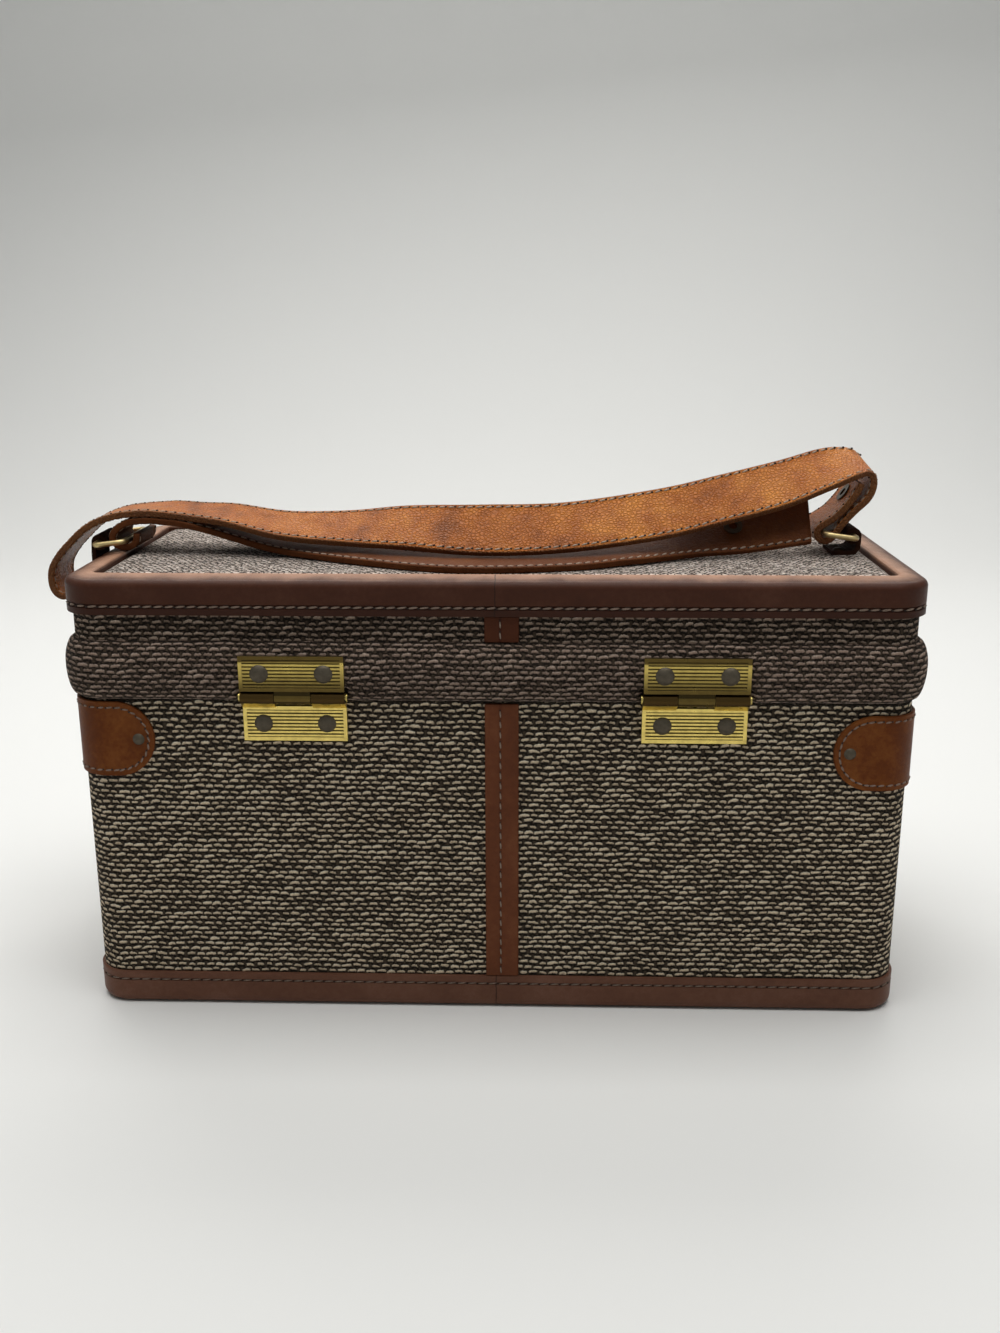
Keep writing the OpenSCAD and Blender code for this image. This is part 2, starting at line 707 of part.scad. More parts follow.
// Strap: two ribbons that lie one on the other. Each station is [x, y, z, tilt] with z above the lid's
// edge, and the tilt turns the ribbon's near edge down. The upper ribbon folds back outside the left
// wall and ends in a roll round the right ring; the lower one ends in a loop round the left ring.
upper_path = [
  [199.3, 0, -10.5, 0], [198.8, 0, -14.5, 0],
  [200.2, 0, -18.4, 0], [204.2, 0, -20.4, 0], [207.7, 0, -18, 0], [209, 0, -13.2, 0],
  [208.1, 0, -7, 0], [204.2, 0, -0.8, 0], [198.9, 0, 4.8, 0], [192.6, 0, 10.6, 0], [186, 0, 14.6, 0],
  [177, 0, 17.6, 0], [167, 0, 18.9, 0], [160, 0.2, 19.2, 1], [154, 0.6, 19.2, 3], [147, 1.2, 18.8, 4],
  [140, 2, 18.2, 5], [124, 5, 17.2, 9], [98, 11, 13.4, 15], [68, 17, 13.2, 22], [40, 24, 14.7, 32],
  [6, 29, 14.5, 41], [-32, 27, 15.5, 40], [-74, 20, 20.4, 42], [-102, 12, 25.6, 42],
  [-130, 8, 32.2, 40], [-150, 4, 38.4, 33], [-163, 1.6, 41.2, 20], [-168.6, 0.4, 40.2, 10],
  [-170.8, 0, 36.2, 4], [-170.6, 0, 30.5, 0], [-168.4, 0, 26, 0], [-163.6, 0, 21.2, 0],
  [-158.6, 0, 15.6, 0], [-155.6, 0, 11.2, 0], [-153.3, 0, 8.3, 0], [-150.7, 0, 7.2, 0],
  [-147.9, 0, 8.2, 0], [-146.9, 0, 10.8, 0], [-147.9, 0, 13.3, 0], [-151.4, 0, 15.8, 0],
  [-155.4, 0, 18.6, 0], [-159.4, 0, 23, 0], [-163.6, 0, 29, 0], [-165.4, 0, 33.4, 0]
];
lower_path = [
  [-144.3, 5.1, 17, 50], [-115, 8.5, 13.1, 48], [-90, 12.4, 10, 35], [-61, 25.2, 4.7, 11],
  [-34, 37, 2.4, 3], [5, 43, 2.1, 2], [32, 39, 2.2, 2], [57, 28, 2.6, 3], [88, 12, 3.4, 5],
  [106, 5, 5, 4], [120, 2, 8.2, 3], [131, 1.4, 11.6, 4], [140, 2, 14.4, 5], [147, 1.2, 15.5, 4],
  [154, 0.6, 15.9, 3], [160, 0.2, 15.9, 1], [167, 0, 15.4, 0], [172, 0, 14.2, 0], [176.2, 0, 11.6, 0],
  [178.4, 0, 8, 0], [176.9, 0, 4.6, 0], [173.9, 0, 3.3, 0], [170.4, 0, 3.5, 0], [167.6, 0, 5.7, 0],
  [166.8, 0, 9.4, 0]
];
strap_steps = 2;
// Tweed wall plane for which the stations are written
path_wall = 182.6;

// Smooth value between stations
function hermite(a, b, c, d, t) =
  0.5*((2*b) + (c - a)*t + (2*a - 5*b + 4*c - d)*t*t + (3*b - a - 3*c + d)*t*t*t);
function path_at(p, u) =
  let (n = len(p), i = min(floor(u), n - 2), t = u - i)
  hermite(p[max(i - 1, 0)], p[i], p[i + 1], p[min(i + 2, n - 1)], t);
function path_x(x) = x + (wall_x - path_wall)*max(-1, min(1, x/130));
function path_centre(p, u) = let (q = path_at(p, u)) [path_x(q[0]), q[1], q[2] + trim_top];
function path_width(p, u) = let (a = path_at(p, u)[3]) [0, cos(a), -sin(a)];
function path_tangent(p, u) =
  unit(path_centre(p, min(u + 0.2, len(p) - 1)) - path_centre(p, max(u - 0.2, 0)));
function path_normal(p, u) = unit(cross(path_tangent(p, u), path_width(p, u)));
function path_ring(p, u) =
  let (c = path_centre(p, u), w = path_width(p, u)*strap_w/2, n = path_normal(p, u)*strap_t/2)
  [c + w + n, c - w + n, c - w - n, c + w - n];

module layer(p) {
  k = (len(p) - 1)*strap_steps;
  pts = [for (i = [0:k]) each path_ring(p, i/strap_steps)];
  side = [for (i = [0:k - 1], j = [0:3]) let (a = 4*i + j, b = 4*i + (j + 1)%4)
    each [[a, b, b + 4], [a, b + 4, a + 4]]];
  caps = [[0, 2, 1], [0, 3, 2], [4*k, 4*k + 1, 4*k + 2], [4*k, 4*k + 2, 4*k + 3]];
  polyhedron(pts, concat([for (f = side) [f[0], f[2], f[1]]], [for (f = caps) [f[0], f[2], f[1]]]));
}

module strap() {
  color(tan) difference() {
    layer(upper_path);
    at_eyelets() cylinder(d = eyelet_d, h = 12, center = true, $fn = 32);
  }
}
module strap_lower() {
  color(tan) difference() {
    layer(lower_path);
    at_eyelets() cylinder(d = eyelet_d, h = 12, center = true, $fn = 32);
  }
}

// Frame on a ribbon at station u: Z is its normal
module on_path(p, u) {
  c = path_centre(p, u);
  t = path_tangent(p, u);
  n = path_normal(p, u);
  w = cross(n, t);
  multmatrix([[t[0], w[0], n[0], c[0]], [t[1], w[1], n[1], c[1]], [t[2], w[2], n[2], c[2]], [0, 0, 0, 1]])
    children();
}
eyelet_d = 5.4;
lower_eyelet = 1.24;
upper_eyelet = 42.6;
module at_eyelets() {
  on_path(lower_path, lower_eyelet) children();
  on_path(upper_path, upper_eyelet) children();
}
module strap_eyelets() {
  color(dark_metal) at_eyelets() difference() {
    union() {
      cylinder(d = eyelet_d - 2*glue, h = strap_t + 1, center = true);
      for (s = [-1, 1]) translate([0, 0, s*(strap_t/2 + 0.6)]) cylinder(d = 8.6, h = 0.5, center = true);
    }
    cylinder(d = 4, h = 12, center = true);
  }
}

base_box();
base_cover();
base_trim();
bottom_panel();
base_rim();
base_lip();
base_lining();
base_pocket();
back_strip_base();
front_strip_base();
side_band_left();
side_band_right();
patch_rivets();
hinge_leaf_base_left();
hinge_leaf_base_right();
hinge_pins();
hinge_rivets_base();
lock_plate();
lock_case();
lock_rivets();
lock_bolt();
key_cylinder();
lid_box();
lid_cover();
lid_top_panel();
lid_trim();
lid_band();
lid_lining();
mirror_frame();
mirror();
back_strip_lid();
front_strip_lid();
hinge_leaf_lid_left();
hinge_leaf_lid_right();
hinge_rivets_lid();
hasp_plate();
hasp_rivets();
hasp_pin();
hasp();
chape_left();
chape_right();
chape_rivets();
strap();
strap_eyelets();
strap_lower();
ring_left();
ring_right();
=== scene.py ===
# Cosmetic train case, seen from its hinge side: tweed over wood, leather bindings and a doubled leather
# strap. Everything is in metres; sizes are written in millimetres and turned with MM.
import math

import bmesh
import bpy
from mathutils import Matrix, Vector, noise


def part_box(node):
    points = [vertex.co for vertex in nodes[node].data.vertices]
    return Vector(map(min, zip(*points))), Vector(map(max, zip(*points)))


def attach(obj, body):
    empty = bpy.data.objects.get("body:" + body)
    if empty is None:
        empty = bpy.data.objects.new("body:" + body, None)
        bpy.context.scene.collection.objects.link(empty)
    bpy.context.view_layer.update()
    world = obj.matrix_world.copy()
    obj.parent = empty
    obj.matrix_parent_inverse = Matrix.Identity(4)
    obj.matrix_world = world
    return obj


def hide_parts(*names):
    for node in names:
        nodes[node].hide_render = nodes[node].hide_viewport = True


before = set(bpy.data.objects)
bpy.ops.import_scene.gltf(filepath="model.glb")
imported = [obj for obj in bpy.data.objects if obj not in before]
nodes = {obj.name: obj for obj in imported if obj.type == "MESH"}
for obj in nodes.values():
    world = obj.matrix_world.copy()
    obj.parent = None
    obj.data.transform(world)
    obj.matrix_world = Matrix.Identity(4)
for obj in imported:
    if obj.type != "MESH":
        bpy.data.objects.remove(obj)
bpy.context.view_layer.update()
MM = 0.001

# ---------------------------------------------------------------------------
# View, floor and light
# The camera stands where the photograph was taken. The floor is pale and plain, and two large soft
# lamps light the case evenly.
YAW, PITCH, ROLL = (math.radians(a) for a in (1.76, 15.64, -0.13))
EYE = (-0.0199, 0.6029, 0.3110)
FOCAL_PIXELS, LONG_SIDE_PIXELS, SENSOR_WIDTH = 1293.8, 1333, 36
forward = Vector((
    math.sin(YAW) * math.cos(PITCH), -math.cos(YAW) * math.cos(PITCH), -math.sin(PITCH)))
level_right = forward.cross(Vector((0, 0, 1))).normalized()
level_up = level_right.cross(forward)
right = level_right * math.cos(ROLL) + level_up * math.sin(ROLL)
up = level_up * math.cos(ROLL) - level_right * math.sin(ROLL)
camera_data = bpy.data.cameras.new("camera")
camera_data.sensor_width = SENSOR_WIDTH
camera_data.lens = SENSOR_WIDTH * FOCAL_PIXELS / LONG_SIDE_PIXELS
camera = bpy.data.objects.new("camera", camera_data)
turned = Matrix((right, up, -forward)).transposed().to_4x4()
camera.matrix_world = Matrix.Translation(EYE) @ turned
bpy.context.scene.collection.objects.link(camera)
bpy.context.scene.camera = camera
bpy.context.scene.view_settings.view_transform = "Standard"


class Value:
    """A socket of a material; Python's operators on it add Math nodes."""

    def __init__(self, look, socket):
        self.look, self.socket = look, socket

    def math(self, operation, *others):
        return self.look.node("ShaderNodeMath", {"operation": operation}, [self, *others])

    def __add__(self, other):
        return self.math("ADD", other)

    def __sub__(self, other):
        return self.math("SUBTRACT", other)

    def __rsub__(self, other):
        return self.look.node("ShaderNodeMath", {"operation": "SUBTRACT"}, [other, self])

    def __mul__(self, other):
        return self.math("MULTIPLY", other)

    def __truediv__(self, other):
        return self.math("DIVIDE", other)

    def __pow__(self, other):
        return self.math("POWER", other)

    def __abs__(self):
        return self.math("ABSOLUTE")

    __radd__, __rmul__ = __add__, __mul__

    def floor(self):
        return self.math("FLOOR")

    def sine(self):
        return self.math("SINE")

    def between(self, low, high):
        """0 at low, 1 at high, smooth and held outside them."""
        return self.look.node(
            "ShaderNodeMapRange", {"interpolation_type": "SMOOTHSTEP"}, {0: self, 1: low, 2: high})


class Look:
    """A material with one Principled shader, built by expressions."""

    def __init__(self, name, roughness, metallic=0.0, sheen=0.0, specular=0.5, colour=(0.8, 0.8, 0.8)):
        self.material = bpy.data.materials.new(name)
        self.material.use_nodes = True
        self.tree = self.material.node_tree
        self.shader = self.tree.nodes["Principled BSDF"]
        self.set("Base Color", colour)
        self.set("Roughness", roughness)
        self.set("Metallic", metallic)
        self.set("Specular IOR Level", specular)
        self.set("Sheen Weight", sheen)
        self.set("Sheen Roughness", 0.4)
        self.place = self.node("ShaderNodeTexCoord", out="Object")
        self.uv = self.node("ShaderNodeTexCoord", out="UV")

    def put(self, socket, value):
        """Links a value to a socket, or writes a number or colour into it."""
        if isinstance(value, Value):
            self.tree.links.new(value.socket, socket)
        elif isinstance(value, (tuple, list, Vector)) and len(socket.default_value) == 4:
            socket.default_value = (*value[:3], 1)
        else:
            socket.default_value = value

    def node(self, kind, settings=None, inputs=(), out=0):
        """Any node: its settings first, then its inputs by name or in order; gives one output."""
        made = self.tree.nodes.new(kind)
        for key, value in (settings or {}).items():
            if key == "stops":
                ramp = made.color_ramp
                while len(ramp.elements) < len(value):
                    ramp.elements.new(0.5)
                for element, (position, colour) in zip(ramp.elements, value):
                    element.position, element.color = position, (*colour, 1)
            else:
                setattr(made, key, value)
        for key, value in inputs.items() if isinstance(inputs, dict) else enumerate(inputs):
            self.put(made.inputs[key], value)
        return Value(self, made.outputs[out])

    def set(self, name, value):
        self.put(self.shader.inputs[name], value)

    def base_colour(self):
        """What feeds Base Color now, to lay more over it."""
        return Value(self, self.shader.inputs["Base Color"].links[0].from_socket)

    def noise(self, scale, detail=2, rough=0.5, stretch=None):
        """Noise of about 1/scale metres, from 0 to 1; stretch scales the three axes first."""
        vector = self.place
        if stretch:
            vector = self.node("ShaderNodeMapping", {}, {"Vector": vector, "Scale": stretch})
        sizes = {"Vector": vector, "Scale": scale, "Detail": detail, "Roughness": rough}
        return self.node("ShaderNodeTexNoise", {}, sizes)

    def cells(self, scale):
        """Distance to the edges of a cell pattern, as in grained leather."""
        sizes = {"Vector": self.place, "Scale": scale}
        return self.node("ShaderNodeTexVoronoi", {"feature": "DISTANCE_TO_EDGE"}, sizes)

    def mix(self, factor, a, b):
        return self.node("ShaderNodeMix", {"data_type": "RGBA"}, {0: factor, 6: a, 7: b}, out=2)

    def ramp(self, value, *stops):
        return self.node("ShaderNodeValToRGB", {"stops": stops}, [value])

    def axes(self, vector):
        """The three numbers of a vector."""
        split = self.tree.nodes.new("ShaderNodeSeparateXYZ")
        self.put(split.inputs[0], vector)
        return [Value(self, s) for s in split.outputs]

    def bump(self, height, distance):
        sizes = {"Height": height, "Distance": distance}
        self.set("Normal", self.node("ShaderNodeBump", {}, sizes))


def background_rays(tree):
    """1 for what the camera, metal and glass see, 0 for the light that falls on the case."""
    rays = tree.nodes.new("ShaderNodeLightPath")
    seen = rays.outputs["Is Camera Ray"]
    for kind in ("Is Glossy Ray", "Is Transmission Ray"):
        either = tree.nodes.new("ShaderNodeMath")
        either.operation = "MAXIMUM"
        tree.links.new(seen, either.inputs[0])
        tree.links.new(rays.outputs[kind], either.inputs[1])
        seen = either.outputs[0]
    return seen


floor_look = Look("pale_floor", roughness=0.75, specular=0.2, colour=(0.80, 0.80, 0.785))
x, y, _ = floor_look.axes(floor_look.place)
far_off = (y + abs(x) * 0.8).between(0.9, 3.0)
seen = Value(floor_look, background_rays(floor_look.tree))
floor_look.set("Emission Color", floor_look.mix(far_off * seen, (0, 0, 0), (0.56, 0.57, 0.56)))
floor_look.set("Emission Strength", 1.0)
FLOOR_FRONT, FLOOR_BACK, BEND_R, BEND_STEPS, FLOOR_TOP, FLOOR_HALF = 6.0, -0.9, 0.7, 24, 4.0, 7
sweep = [(FLOOR_FRONT, 0.0), (FLOOR_BACK, 0.0)]
for k in range(1, BEND_STEPS + 1):
    a = math.pi / 2 * k / BEND_STEPS
    sweep.append((FLOOR_BACK - BEND_R * math.sin(a), BEND_R - BEND_R * math.cos(a)))
sweep.append((FLOOR_BACK - BEND_R, FLOOR_TOP))
floor_mesh = bpy.data.meshes.new("floor")
floor_mesh.from_pydata(
    [(x, y, z) for y, z in sweep for x in (-FLOOR_HALF, FLOOR_HALF)], [],
    [(2 * k, 2 * k + 1, 2 * k + 3, 2 * k + 2) for k in range(len(sweep) - 1)],
)
floor_mesh.materials.append(floor_look.material)
for face in floor_mesh.polygons:
    face.use_smooth = True
floor = bpy.data.objects.new("floor", floor_mesh)
bpy.context.scene.collection.objects.link(floor)

world = bpy.data.worlds.new("studio")
world.use_nodes = True
bpy.context.scene.world = world
sky = world.node_tree.nodes["Background"]
sky.inputs["Color"].default_value = (0.96, 1.0, 0.99, 1)
SKY_LIGHT, SKY_SEEN = 0.14, 0.62
strength = world.node_tree.nodes.new("ShaderNodeMapRange")
strength.inputs["To Min"].default_value = SKY_LIGHT
strength.inputs["To Max"].default_value = SKY_SEEN
world.node_tree.links.new(background_rays(world.node_tree), strength.inputs["Value"])
world.node_tree.links.new(strength.outputs[0], sky.inputs["Strength"])


def lamp(name, place, aim, width, height, power, colour):
    """A soft rectangular lamp in metres and watts, not seen by the camera."""
    data = bpy.data.lights.new(name, "AREA")
    data.shape, data.size, data.size_y = "RECTANGLE", width, height
    data.energy, data.color = power, colour
    made = bpy.data.objects.new(name, data)
    made.location = place
    made.rotation_euler = (Vector(aim) - Vector(place)).to_track_quat("-Z", "Y").to_euler()
    made.visible_camera = False
    bpy.context.scene.collection.objects.link(made)


lamp("overhead", (0.0, 0.15, 1.5), (0, 0.05, 0), 1.6, 1.0, 20, (1.0, 0.995, 0.98))
lamp("behind", (0.1, -0.95, 1.2), (0, 0, 0.1), 1.8, 0.7, 12, (1.0, 0.99, 0.97))


# ---------------------------------------------------------------------------
# Tweed walls
# Coarse wool tweed glued over the wooden shells: light weft floats over a dark warp, each row set half a
# float along from the next. Each float is painted lighter along its top and darker along its foot, painted
# light from above, with painted shade in the gaps between the yarns. Each shell has one closed skin of it,
# cut off under the bindings; the lid's skin is a darker, redder copy of the cloth, its darkness painted
# shade.
WALL_X, WALL_Y, WALL_R = 182.6, 71.6, 14.0
TWEED_T, BASE_TWEED, LID_TWEED = 0.8, (15.9, 146.3), (146.6, 184.3)
FLOAT_LENGTH, ROW_HEIGHT = 4.46, 2.55
ARC = math.pi / 2 * WALL_R
BACK_HALF = WALL_X - WALL_R
SIDE_FULL = 2 * (WALL_Y - WALL_R)
ROUND = 4 * BACK_HALF + 2 * SIDE_FULL + 4 * ARC
SIDE_MID = BACK_HALF + ARC + SIDE_FULL / 2


def around(s, out, z):
    """Point and outward direction at s mm round the wall from the middle of the back, +X way first."""
    s %= ROUND
    sx = 1
    if s > ROUND / 2:
        s, sx = ROUND - s, -1
    if s <= BACK_HALF:
        x, y, n = s, WALL_Y, (0, 1)
    elif s <= BACK_HALF + ARC:
        a = (s - BACK_HALF) / WALL_R
        n = (math.sin(a), math.cos(a))
        x, y = BACK_HALF + WALL_R * n[0], WALL_Y - WALL_R + WALL_R * n[1]
    elif s <= BACK_HALF + ARC + SIDE_FULL:
        x, y, n = WALL_X, WALL_Y - WALL_R - (s - BACK_HALF - ARC), (1, 0)
    elif s <= BACK_HALF + 2 * ARC + SIDE_FULL:
        a = (s - BACK_HALF - ARC - SIDE_FULL) / WALL_R
        n = (math.cos(a), -math.sin(a))
        x, y = BACK_HALF + WALL_R * n[0], -WALL_Y + WALL_R + WALL_R * n[1]
    else:
        x, y, n = ROUND / 2 - s, -WALL_Y, (0, -1)
    place = Vector((sx * (x + n[0] * out), y + n[1] * out, z)) * MM
    return place, Vector((sx * n[0], n[1], 0))


def round_stations(step, corner_steps=10):
    """Distances round the wall, closer together in the corners."""
    found = []
    side_start = BACK_HALF + ARC
    side_end = side_start + SIDE_FULL
    edges = [0, BACK_HALF, side_start, side_end, side_end + ARC, ROUND / 2]
    for a, b in zip(edges, edges[1:]):
        count = corner_steps if abs(b - a - ARC) < 0.01 else max(1, round((b - a) / step))
        found += [a + (b - a) * i / count for i in range(count)]
    return found + [ROUND / 2] + [ROUND - s for s in reversed(found[1:])]


def new_piece(name, mesh, look, body, replaces=(), smooth=True):
    """A finished mesh as a piece that rides on a body and stands for the named nodes."""
    made = bpy.data.objects.new(name, mesh)
    bpy.context.scene.collection.objects.link(made)
    if not mesh.materials:
        mesh.materials.append(look.material)
    for face in mesh.polygons:
        face.use_smooth = smooth
    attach(made, body)
    if replaces:
        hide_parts(*replaces)
    return made


def sweep_round(name, section, step=6.0, shape=None):
    """Closed mesh of a section swept round the case. section holds (out, z) in mm, ordered so that the
    outer face comes first; shape(s, out, z) may move a point."""
    stations = round_stations(step)
    bm = bmesh.new()
    uv = bm.loops.layers.uv.new("UVMap")
    lengths = [0.0]
    for a, b in zip(section, section[1:] + section[:1]):
        lengths.append(lengths[-1] + math.dist(a, b))
    rings = []
    for s in stations:
        ring = []
        for out, z in section:
            o, h = shape(s, out, z) if shape else (out, z)
            ring.append(bm.verts.new(around(s, o, h)[0]))
        rings.append(ring)
    total = len(stations)
    for i in range(total):
        a, b = rings[i], rings[(i + 1) % total]
        u0, u1 = stations[i], stations[i + 1] if i + 1 < total else ROUND
        for j in range(len(section)):
            k = (j + 1) % len(section)
            v0, v1 = lengths[j], lengths[j + 1]
            face = bm.faces.new((a[j], a[k], b[k], b[j]))
            for loop, (u, v) in zip(face.loops, ((u0, v0), (u0, v1), (u1, v1), (u1, v0))):
                loop[uv].uv = (u * MM, v * MM)
    bmesh.ops.recalc_face_normals(bm, faces=bm.faces)
    mesh = bpy.data.meshes.new(name)
    bm.to_mesh(mesh)
    bm.free()
    return mesh


def woven(look, u, v, pitch_u, pitch_v, dark, warp_tone, tones, fuzz=0.1, wander=0.75, swell=0.26):
    """Weft floats in brick order over dim warp strands, their ends turned down; each float is painted lighter
    along its top and darker along its foot, painted light from above, and dark is painted shade in the gaps
    between the yarns. wander moves them off the grid, swell is their thickness and fuzz lightens their hairs.
    Gives colour and height."""
    v = v + (look.noise(150, 2) - 0.5) * (pitch_v * wander) + (look.noise(45, 1) - 0.5) * (pitch_v * 0.6)
    u = u + (look.noise(230, 2) - 0.5) * (pitch_u * wander)
    rows = v / pitch_v
    row = rows.floor()
    along = u / pitch_u + row * 0.5
    cell = along.floor()

    def by_chance(a, b):
        """A number for each float, from 0 to 1."""
        pick = look.node("ShaderNodeCombineXYZ", {}, [a, b, 0])
        return look.node("ShaderNodeTexWhiteNoise", {"noise_dimensions": "2D"}, {"Vector": pick})

    tone, other = by_chance(cell, row), by_chance(row * 1.7 + 5.3, cell)
    fluff = look.noise(1300, 4, 0.75)
    du = along - cell - 0.5
    bow = du * du * (0.25 + other * 0.75) - 0.06
    dv = rows - row - 0.5 + bow + (other - 0.5) * 0.22 + du * (tone - 0.5) * 0.3
    long = 0.405 + (tone - 0.5) * 0.16 + (fluff - 0.5) * 0.3
    fat = swell + (tone - 0.5) * 0.08 + (fluff - 0.5) * 0.55
    far = (abs(du) / long) ** 5 + (abs(dv) / fat) ** 2.4
    yarn = 1 - far.between(0.3, 1.25)
    strand = (1 - ((0.5 - abs(du)) / 0.15).between(0.3, 1.4)) * (0.2 + fluff * 0.9)
    streak = look.noise(2300, 3, 0.65, stretch=(0.4, 0.4, 1.3))
    # The dv term lightens the top of each float and darkens its foot: painted light from above.
    shade = look.ramp(tone * 0.3 + streak * 0.6 + fluff * 0.75 + dv * 1.2 - 0.27, *tones)
    under = look.mix(strand, dark, warp_tone)
    colour = look.mix((fluff - 0.4) * fuzz, look.mix(yarn * (0.5 + streak * 0.7), under, shade), tones[-1][1])
    height = yarn * 0.8 + strand * 0.25 + streak * 0.2 + fluff * 0.15
    return colour, height


# The first colour is painted shade in the gaps between the yarns; the second is the warp's own colour.
WEAVE_GAP_SHADE, WARP_TONE = (0.006, 0.0042, 0.003), (0.07, 0.05, 0.035)
TWEED_TONES = {
    "wall_tweed": ((0.20, 0.145, 0.093), (0.50, 0.385, 0.26), (0.86, 0.70, 0.50), (1.0, 0.90, 0.72)),
    # The lid's cloth is a darker, redder copy of the wall cloth; its darkness is painted shade.
    "lid_tweed": ((0.085, 0.058, 0.042), (0.22, 0.157, 0.115), (0.43, 0.32, 0.245), (0.70, 0.56, 0.45)),
    # The band's cloth is darker and redder than the walls': the redness its own colour, the darkness partly
    # painted shade.
    "band_tweed": ((0.08, 0.052, 0.040), (0.205, 0.14, 0.105), (0.38, 0.275, 0.215), (0.64, 0.50, 0.41)),
    "top_tweed": ((0.40, 0.29, 0.235), (0.72, 0.575, 0.48), (0.96, 0.83, 0.73), (1.0, 0.95, 0.89)),
}


def tweed(name, float_length, row_height, depth, plan=False, **more):
    """A tweed material laid by the mesh's own map, or by plan on a level piece."""
    look = Look(name, roughness=0.95, sheen=0.05, specular=0.05)
    u, v, _ = look.axes(look.place if plan else look.uv)
    stops = tuple(zip((0.0, 0.35, 0.7, 1.0), TWEED_TONES[name]))
    colour, height = woven(
        look, u, v, float_length * MM, row_height * MM, WEAVE_GAP_SHADE, WARP_TONE, stops, **more)
    look.set("Base Color", colour)
    look.bump(height, depth * MM)
    return look


for name, (low, high), body, node, finish in (
    ("base_tweed", BASE_TWEED, "base", "base_cover", "wall_tweed"),
    ("lid_tweed", LID_TWEED, "lid", "lid_cover", "lid_tweed"),
):
    section = [(0, low), (0, high), (-TWEED_T, high), (-TWEED_T, low)]
    cloth = tweed(finish, FLOAT_LENGTH, ROW_HEIGHT, 1.0)
    new_piece(name, sweep_round(name, section), cloth, body, [node], smooth=False)


# ---------------------------------------------------------------------------
# Padded band round the lid
# A strip of denser, fuzzier tweed drawn over wadding, crowned between its two turned edges, and set back
# where the hinge knuckles and the hasp sit. Its tones are darker and redder than the walls': the redness its
# own colour, the darkness partly painted shade.
BAND_LOW, BAND_HIGH, BAND_EDGE, BAND_OUT, BAND_INSIDE = 146.7, 172.9, 0.3, 5.1, 0.1
HINGES, LEAF_W, KNUCKLE_TOP = (85.0, -87.0), 45.0, 153.4
HASP_W, HASP_TOP = 24.0, 154.2


def band_shape(s, out, z):
    """Soft unevenness, and room for the knuckles and the hasp."""
    place, _ = around(s, 0, z)
    x, y = place.x / MM, place.y / MM
    lumps = noise.noise(Vector((s * 0.06, z * 0.11, 3))) * 0.35
    out = max(BAND_INSIDE, out + (lumps if out > 1 else 0))
    if s < BACK_HALF or s > ROUND - BACK_HALF:
        rooms = [(middle, LEAF_W / 2 + 1.0, KNUCKLE_TOP) for middle in HINGES]
    else:
        rooms = [(0, HASP_W / 2 + 0.8, HASP_TOP)]
    for middle, half, top in rooms:
        if abs(x - middle) < half and z < top and abs(y) > WALL_Y - 1:
            out = min(out, 0.4)
    return out, z


band_section = []
BAND_STEPS = 22
for i in range(BAND_STEPS + 1):
    t = i / BAND_STEPS
    crown = math.sin(math.pi * t) ** 0.42 if 0 < t < 1 else 0
    out = BAND_EDGE + (BAND_OUT - BAND_EDGE) * crown
    band_section.append((out, BAND_LOW + (BAND_HIGH - BAND_LOW) * t))
band_section += [(BAND_INSIDE, BAND_HIGH), (BAND_INSIDE, BAND_LOW)]
band_tweed = tweed("band_tweed", FLOAT_LENGTH, 2.4, 0.8, fuzz=0.2, wander=0.6, swell=0.28)
band_mesh = sweep_round("lid_band_padding", band_section, 2.0, band_shape)
band = new_piece("lid_band_padding", band_mesh, band_tweed, "lid", ["lid_band"])


# ---------------------------------------------------------------------------
# Tweed on the lid's top
# A lighter, finer piece of the same cloth with dark flecks in it, laid inside the binding and raised a
# little by a thin pad glued under it.
top_tweed = tweed("top_tweed", 2.9, 2.1, 1.2, plan=True, fuzz=0.3, wander=1.3, swell=0.38)
speck = 1 - (top_tweed.noise(430, 4, 0.7) - 0.5).between(-0.10, 0.02)
top_tweed.set("Base Color", top_tweed.mix(speck * 0.75, top_tweed.base_colour(), (0.045, 0.032, 0.026)))
TOP_IN, TOP_Z, TOP_RISE, TOP_SHOULDER, TOP_SKIN = 10.4, 197.3, 2.0, 5.0, 0.1
TOP_COLUMNS, TOP_ROWS = 90, 40


def top_panel():
    """A low cushion inside the binding, closed below."""
    bm = bmesh.new()
    hx, hy = WALL_X - TOP_IN, WALL_Y - TOP_IN
    nx, ny = TOP_COLUMNS, TOP_ROWS
    top = []
    for i in range(nx + 1):
        column = []
        for j in range(ny + 1):
            x, y = -hx + 2 * hx * i / nx, -hy + 2 * hy * j / ny
            edge = min(hx - abs(x), hy - abs(y))
            uneven = noise.noise(Vector((x * 0.05, y * 0.05, 0))) * 0.15
            rise = TOP_RISE * min(1, edge / TOP_SHOULDER) ** 0.5 + uneven
            column.append(bm.verts.new(Vector((x, y, TOP_Z + (rise if edge > 0 else 0))) * MM))
        top.append(column)
    for i in range(nx):
        for j in range(ny):
            bm.faces.new((top[i][j], top[i + 1][j], top[i + 1][j + 1], top[i][j + 1]))
    border = [top[i][0] for i in range(nx)] + [top[nx][j] for j in range(ny)]
    border += [top[i][ny] for i in range(nx, 0, -1)] + [top[0][j] for j in range(ny, 0, -1)]
    below = [bm.verts.new((vert.co.x, vert.co.y, (TOP_Z - TOP_SKIN) * MM)) for vert in border]
    for k in range(len(border)):
        after = (k + 1) % len(border)
        bm.faces.new((border[k], below[k], below[after], border[after]))
    bm.faces.new(below)
    bmesh.ops.recalc_face_normals(bm, faces=bm.faces)
    mesh = bpy.data.meshes.new("lid_top_tweed")
    bm.to_mesh(mesh)
    bm.free()
    return mesh


new_piece("lid_top_tweed", top_panel(), top_tweed, "lid", ["lid_top_panel"])
